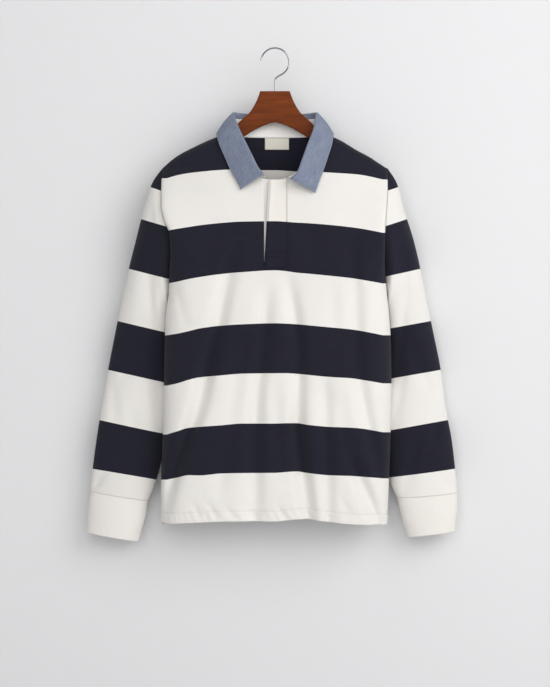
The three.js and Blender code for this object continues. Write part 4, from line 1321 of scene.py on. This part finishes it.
# %% Stitch group
def stitch_group():
    group = bpy.data.node_groups.new("Sewn Stitches", "GeometryNodeTree")

    def socket(label, way, kind):
        return group.interface.new_socket(label, in_out=way, socket_type="NodeSocket" + kind)

    def chain(kind, source, *more, **settings):
        """A node fed by the one before it, then by pairs of an input's name and its source."""
        made = node(group, kind, **settings)
        link(group, source.outputs[0], made.inputs[0])
        for label, output in more:
            link(group, output, made.inputs[label])
        return made

    inputs = {"Geometry": socket("Geometry", "INPUT", "Geometry")}
    for label, value in (("Pitch", 0.003), ("Length", 0.0022), ("Width", 0.0006)):
        inputs[label] = socket(label, "INPUT", "Float")
        inputs[label].default_value = value
    inputs["Material"] = socket("Material", "INPUT", "Material")
    socket("Geometry", "OUTPUT", "Geometry")
    enter, leave = node(group, "NodeGroupInput"), node(group, "NodeGroupOutput")
    given = enter.outputs
    curve = chain("GeometryNodeMeshToCurve", enter)
    steps = chain("GeometryNodeResampleCurve", curve, ("Length", given["Pitch"]), mode="LENGTH")
    turn = node(group, "FunctionNodeAlignRotationToVector", axis="Z")
    link(group, node(group, "GeometryNodeInputTangent").outputs[0], turn.inputs["Vector"])
    spindle = node(group, "GeometryNodeMeshUVSphere")
    fill(spindle, {"Segments": 5, "Rings": 4, "Radius": 0.5})
    shape = node(group, "ShaderNodeCombineXYZ")
    for part, label in enumerate(("Width", "Width", "Length")):
        link(group, given[label], shape.inputs[part])
    place = chain(
        "GeometryNodeInstanceOnPoints",
        steps,
        ("Instance", spindle.outputs["Mesh"]),
        ("Rotation", turn.outputs[0]),
        ("Scale", shape.outputs[0]),
    )
    real = chain("GeometryNodeRealizeInstances", place)
    cloth = chain("GeometryNodeSetMaterial", real, ("Material", given["Material"]))
    link(group, cloth.outputs[0], leave.inputs[0])
    return group, {label: made.identifier for label, made in inputs.items()}


def thread_material(name, colour):
    material, _, shader = new_material(name, 0.7, 0.2)
    fill(shader, {"Base Color": (*colour, 1)})
    return material


STITCH, STITCH_INPUT = stitch_group()
WHITE_THREAD = thread_material("White Thread", (0.80, 0.775, 0.73))
NAVY_THREAD = thread_material("Navy Thread", (0.02, 0.02, 0.036))
BLUE_THREAD = thread_material("Pale Blue Thread", (0.36, 0.40, 0.50))
THREAD_OUT = 0.15  # how far a thread's middle lies off the cloth
NEAR_EDGE = -4  # a column of the leaf near its free edge
print("stitch inputs", ", ".join(STITCH_INPUT))


def sew(name, lines, material, pitch, length, width):
    """Stitches along lines of points. All sizes are in millimetres."""
    points, edges = [], []
    for line in lines:
        start = len(points)
        points += [tuple(p * MM) for p in np.asarray(line)]
        edges += [(start + i, start + i + 1) for i in range(len(line) - 1)]
    mesh = bpy.data.meshes.new(name + "_line")
    mesh.from_pydata(points, edges, [])
    guide = put(name + "_line", mesh)
    modifier = guide.modifiers.new("Stitches", "NODES")
    modifier.node_group = STITCH
    for label, value in (("Pitch", pitch), ("Length", length), ("Width", width)):
        modifier[STITCH_INPUT[label]] = value * MM
    modifier[STITCH_INPUT["Material"]] = material
    bpy.context.view_layer.update()
    depsgraph = bpy.context.evaluated_depsgraph_get()
    sewn = bpy.data.meshes.new_from_object(guide.evaluated_get(depsgraph))
    sewn.name = name
    bpy.data.objects.remove(guide)
    if not sewn.uv_layers:
        sewn.uv_layers.new(name="UVMap")
    piece(name, sewn, material)


# %% [markdown]
# A seam line is read off the same form as its cloth, a little proud of it, so the thread lies on top.
# Over a navy stripe the hem of this shirt has no seam, so one colour of thread serves each line.

# %% Sew the seams
def hem_line(face):
    x_top, _, section = panel_columns(face)
    side = np.where(x_top < 0, -1, 1)
    hem = hem_at(face, side, section)
    z = hem + HEM_TURN
    x = side * side_at(side, z) * np.minimum(section, LAST_INSIDE)
    return on_panel(face, x[3:-3], z[3:-3], THREAD_OUT)


def sleeve_end(side, table, up):
    """A ring round the foot of a sleeve, a little above the cuff's seam."""
    grid = sleeve_grid(side, table)
    share = 1 - up / np.linalg.norm(grid[-1, 0] - grid[-12, 0]) * 11 / len(grid)
    row = share * (len(grid) - 1)
    low = int(row)
    ring = grid[low] + (grid[low + 1] - grid[low]) * (row - low)
    away = ring - ring.mean(0)
    ring = ring + away / np.linalg.norm(away, axis=-1, keepdims=True) * 0.2
    return np.concatenate([ring, ring[:1]])


def leaf_line(inset):
    """A line on the collar's outside, inset from its free edge and its two ends."""
    grid = np.array(leaf_sections)
    grid = grid + normals_of(grid, LEAF_TEST, BACKWARD) * 0.25
    down, along = running(grid), running(grid, 0)

    def at_down(row, distance):
        return np.array([np.interp(distance, down[row], grid[row, :, k]) for k in range(3)])

    def at_end(column, distance, last):
        line = grid[:, column]
        ran = along[:, column] if not last else along[-1, column] - along[:, column]
        order = np.argsort(ran)
        return np.array([np.interp(distance, ran[order], line[order, k]) for k in range(3)])

    free = [
        at_down(row, down[row, -1] - inset)
        for row in range(len(grid))
        if inset < along[row, NEAR_EDGE] < along[-1, NEAR_EDGE] - inset
    ]
    after_fold = range(INSIDE_STEPS + FOLD_STEPS + 2, grid.shape[1])
    columns = [c for c in after_fold if down[0, -1] - down[0, c] > inset]
    first = [at_end(c, inset, False) for c in columns]
    final = [at_end(c, inset, True) for c in columns]
    return [np.array(first + free + final[::-1])]


def placket_line(x1, z1, x2, z2, count=30):
    t = np.linspace(0, 1, count)
    return on_panel("front", x1 + (x2 - x1) * t, z1 + (z2 - z1) * t, STRIP_OUT + STRIP + THREAD_OUT)


sew("hem_stitches", [hem_line("front"), hem_line("back")], WHITE_THREAD, 3.2, 2.5, 0.6)
sew(
    "cuff_stitches",
    [sleeve_end(-1, LEFT_SLEEVE, 3.0), sleeve_end(1, RIGHT_SLEEVE, 3.0)],
    WHITE_THREAD, 3.2, 2.4, 0.55,
)
sew("collar_stitches", leaf_line(COLLAR_STITCH), BLUE_THREAD, 2.8, 2.1, 0.6)
foot = OVER["bottom"]
inside, side_seam = -17, 21.5
sew(
    "placket_cross_stitches",
    [placket_line(inside, foot + up, side_seam, foot + up) for up in (STITCH_LOW, STITCH_HIGH, 2)]
    + [placket_line(side_seam, foot + 2, side_seam, -322)],
    NAVY_THREAD, 2.8, 2.2, 0.55,
)
side_line = placket_line(side_seam, -318, side_seam, -262)
sew("placket_side_stitches", [side_line], WHITE_THREAD, 2.8, 2.2, 0.5)

# %% [markdown]
# ## Hanger
# The hanger keeps its own solids. Its wood is stained red-brown under a satin lacquer, with grain that
# runs along the arms, and the wire is bright.

# %% Wood and wire
def wood_material():
    material, tree, shader = new_material("Stained Wood", 0.4, 0.07)
    place = node(tree, "ShaderNodeTexCoord").outputs["Object"]
    grain = noise(tree, place, (14, 160, 160), 6)
    grain.inputs["Distortion"].default_value = 0.6
    figure = remapped(tree, grain.outputs[0], -0.4, 1.4)
    colour = mix_colour(tree, figure, (0.085, 0.017, 0.003), (0.215, 0.05, 0.0105))
    link(tree, colour, shader.inputs["Base Color"])
    link(tree, remapped(tree, grain.outputs[0], 0.34, 0.5), shader.inputs["Roughness"])
    bump(tree, shader, grain.outputs[0], 0.0002, 0.3)
    return material


def wire_material():
    material, tree, shader = new_material("Bright Wire", 0.14, 0.5)
    fill(shader, {"Base Color": (0.34, 0.35, 0.37, 1), "Metallic": 1})
    drawn = noise(tree, node(tree, "ShaderNodeTexCoord").outputs["Object"], 400)
    link(tree, remapped(tree, drawn.outputs[0], 0.08, 0.2), shader.inputs["Roughness"])
    return material


for name, material in (("hanger_body", wood_material()), ("hanger_hook", wire_material())):
    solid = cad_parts[name]
    solid.data.materials.clear()
    solid.data.materials.append(material)
    print(name, "in", material.name)

# %% [markdown]

# %% [markdown]
# ## Room, light and camera
# The shirt hangs close in front of a pale wall, so a soft shadow falls beside it. The wall is clear
# when it is seen from behind, so the back can be looked at too.

# %% Stage
WALL_Y = 0.064
FLOOR_Z = -1.32
REACH = 4  # how far the wall and the floor go from the middle
WALL_TOP = 2.5
WALL_TONE = (0.75, 0.75, 0.755)


def plain_material(name, colour, see_through):
    material, tree, shader = new_material(name, 0.95, 0.1)
    fill(shader, {"Base Color": (*colour, 1)})
    if see_through:
        sides = node(tree, "ShaderNodeMixShader")
        clear = node(tree, "ShaderNodeBsdfTransparent")
        facing = node(tree, "ShaderNodeNewGeometry")
        sources = facing.outputs["Backfacing"], shader.outputs[0], clear.outputs[0]
        for socket, source in zip(sides.inputs, sources):
            link(tree, source, socket)
        link(tree, sides.outputs[0], tree.nodes["Material Output"].inputs["Surface"])
    return material


def stage_plane(name, corners, material):
    mesh = bpy.data.meshes.new(name)
    mesh.from_pydata(corners, [], [(0, 1, 2, 3)])
    mesh.materials.append(material)
    put(name, mesh)
    print(name, "corners", corners)


across = ((-REACH, 0), (REACH, 0), (REACH, 1), (-REACH, 1))
wall = [(x, WALL_Y, WALL_TOP if far else FLOOR_Z) for x, far in across]
floor = [(x, REACH if far else -REACH, FLOOR_Z) for x, far in across]
stage_plane("wall", wall, plain_material("Wall Paint", WALL_TONE, True))
stage_plane("floor", floor, plain_material("Floor Paint", WALL_TONE, False))


# %% Lights
MIDDLE = (0, 0, -0.5)  # where the lights aim, in metres


def area_light(name, at, size, power):
    data = bpy.data.lights.new(name, "AREA")
    data.shape = "DISK"
    data.size = size
    data.energy = power
    lamp = put(name, data)
    lamp.location = at
    lamp.rotation_euler = (Vector(MIDDLE) - Vector(at)).to_track_quat("-Z", "Y").to_euler()


area_light("key", (2.0, -2.2, 0.75), 2.6, 52)
area_light("fill", (-0.3, -3.4, 0.2), 2.8, 41)
area_light("behind", (0.8, 2.6, 0.8), 2.0, 18)
world = bpy.data.worlds.new("Soft Room")
world.use_nodes = True
fill(world.node_tree.nodes["Background"], {"Color": (0.98, 0.985, 1, 1), "Strength": 0.38})
bpy.context.scene.world = world
bpy.context.scene.view_settings.view_transform = "Standard"
print("lights", len(bpy.data.lights))

# %% Camera
PHOTO_TALL = 687  # pixels
SCALE = 0.00185  # metres a pixel at the hanger's plane
HOOK_PIXEL_Z = 48.8  # the pixel row of the frame's zero height
LENS = 100
SENSOR = 36
camera_data = bpy.data.cameras.new("camera")
camera_data.lens = LENS
camera_data.sensor_width = SENSOR
distance = LENS / SENSOR * PHOTO_TALL * SCALE
camera = put("camera", camera_data)
camera.location = (0, -distance, -(PHOTO_TALL / 2 - HOOK_PIXEL_Z) * SCALE)
camera.rotation_euler = (math.pi / 2, 0, 0)
bpy.context.scene.camera = camera
print("camera distance", round(distance, 3))
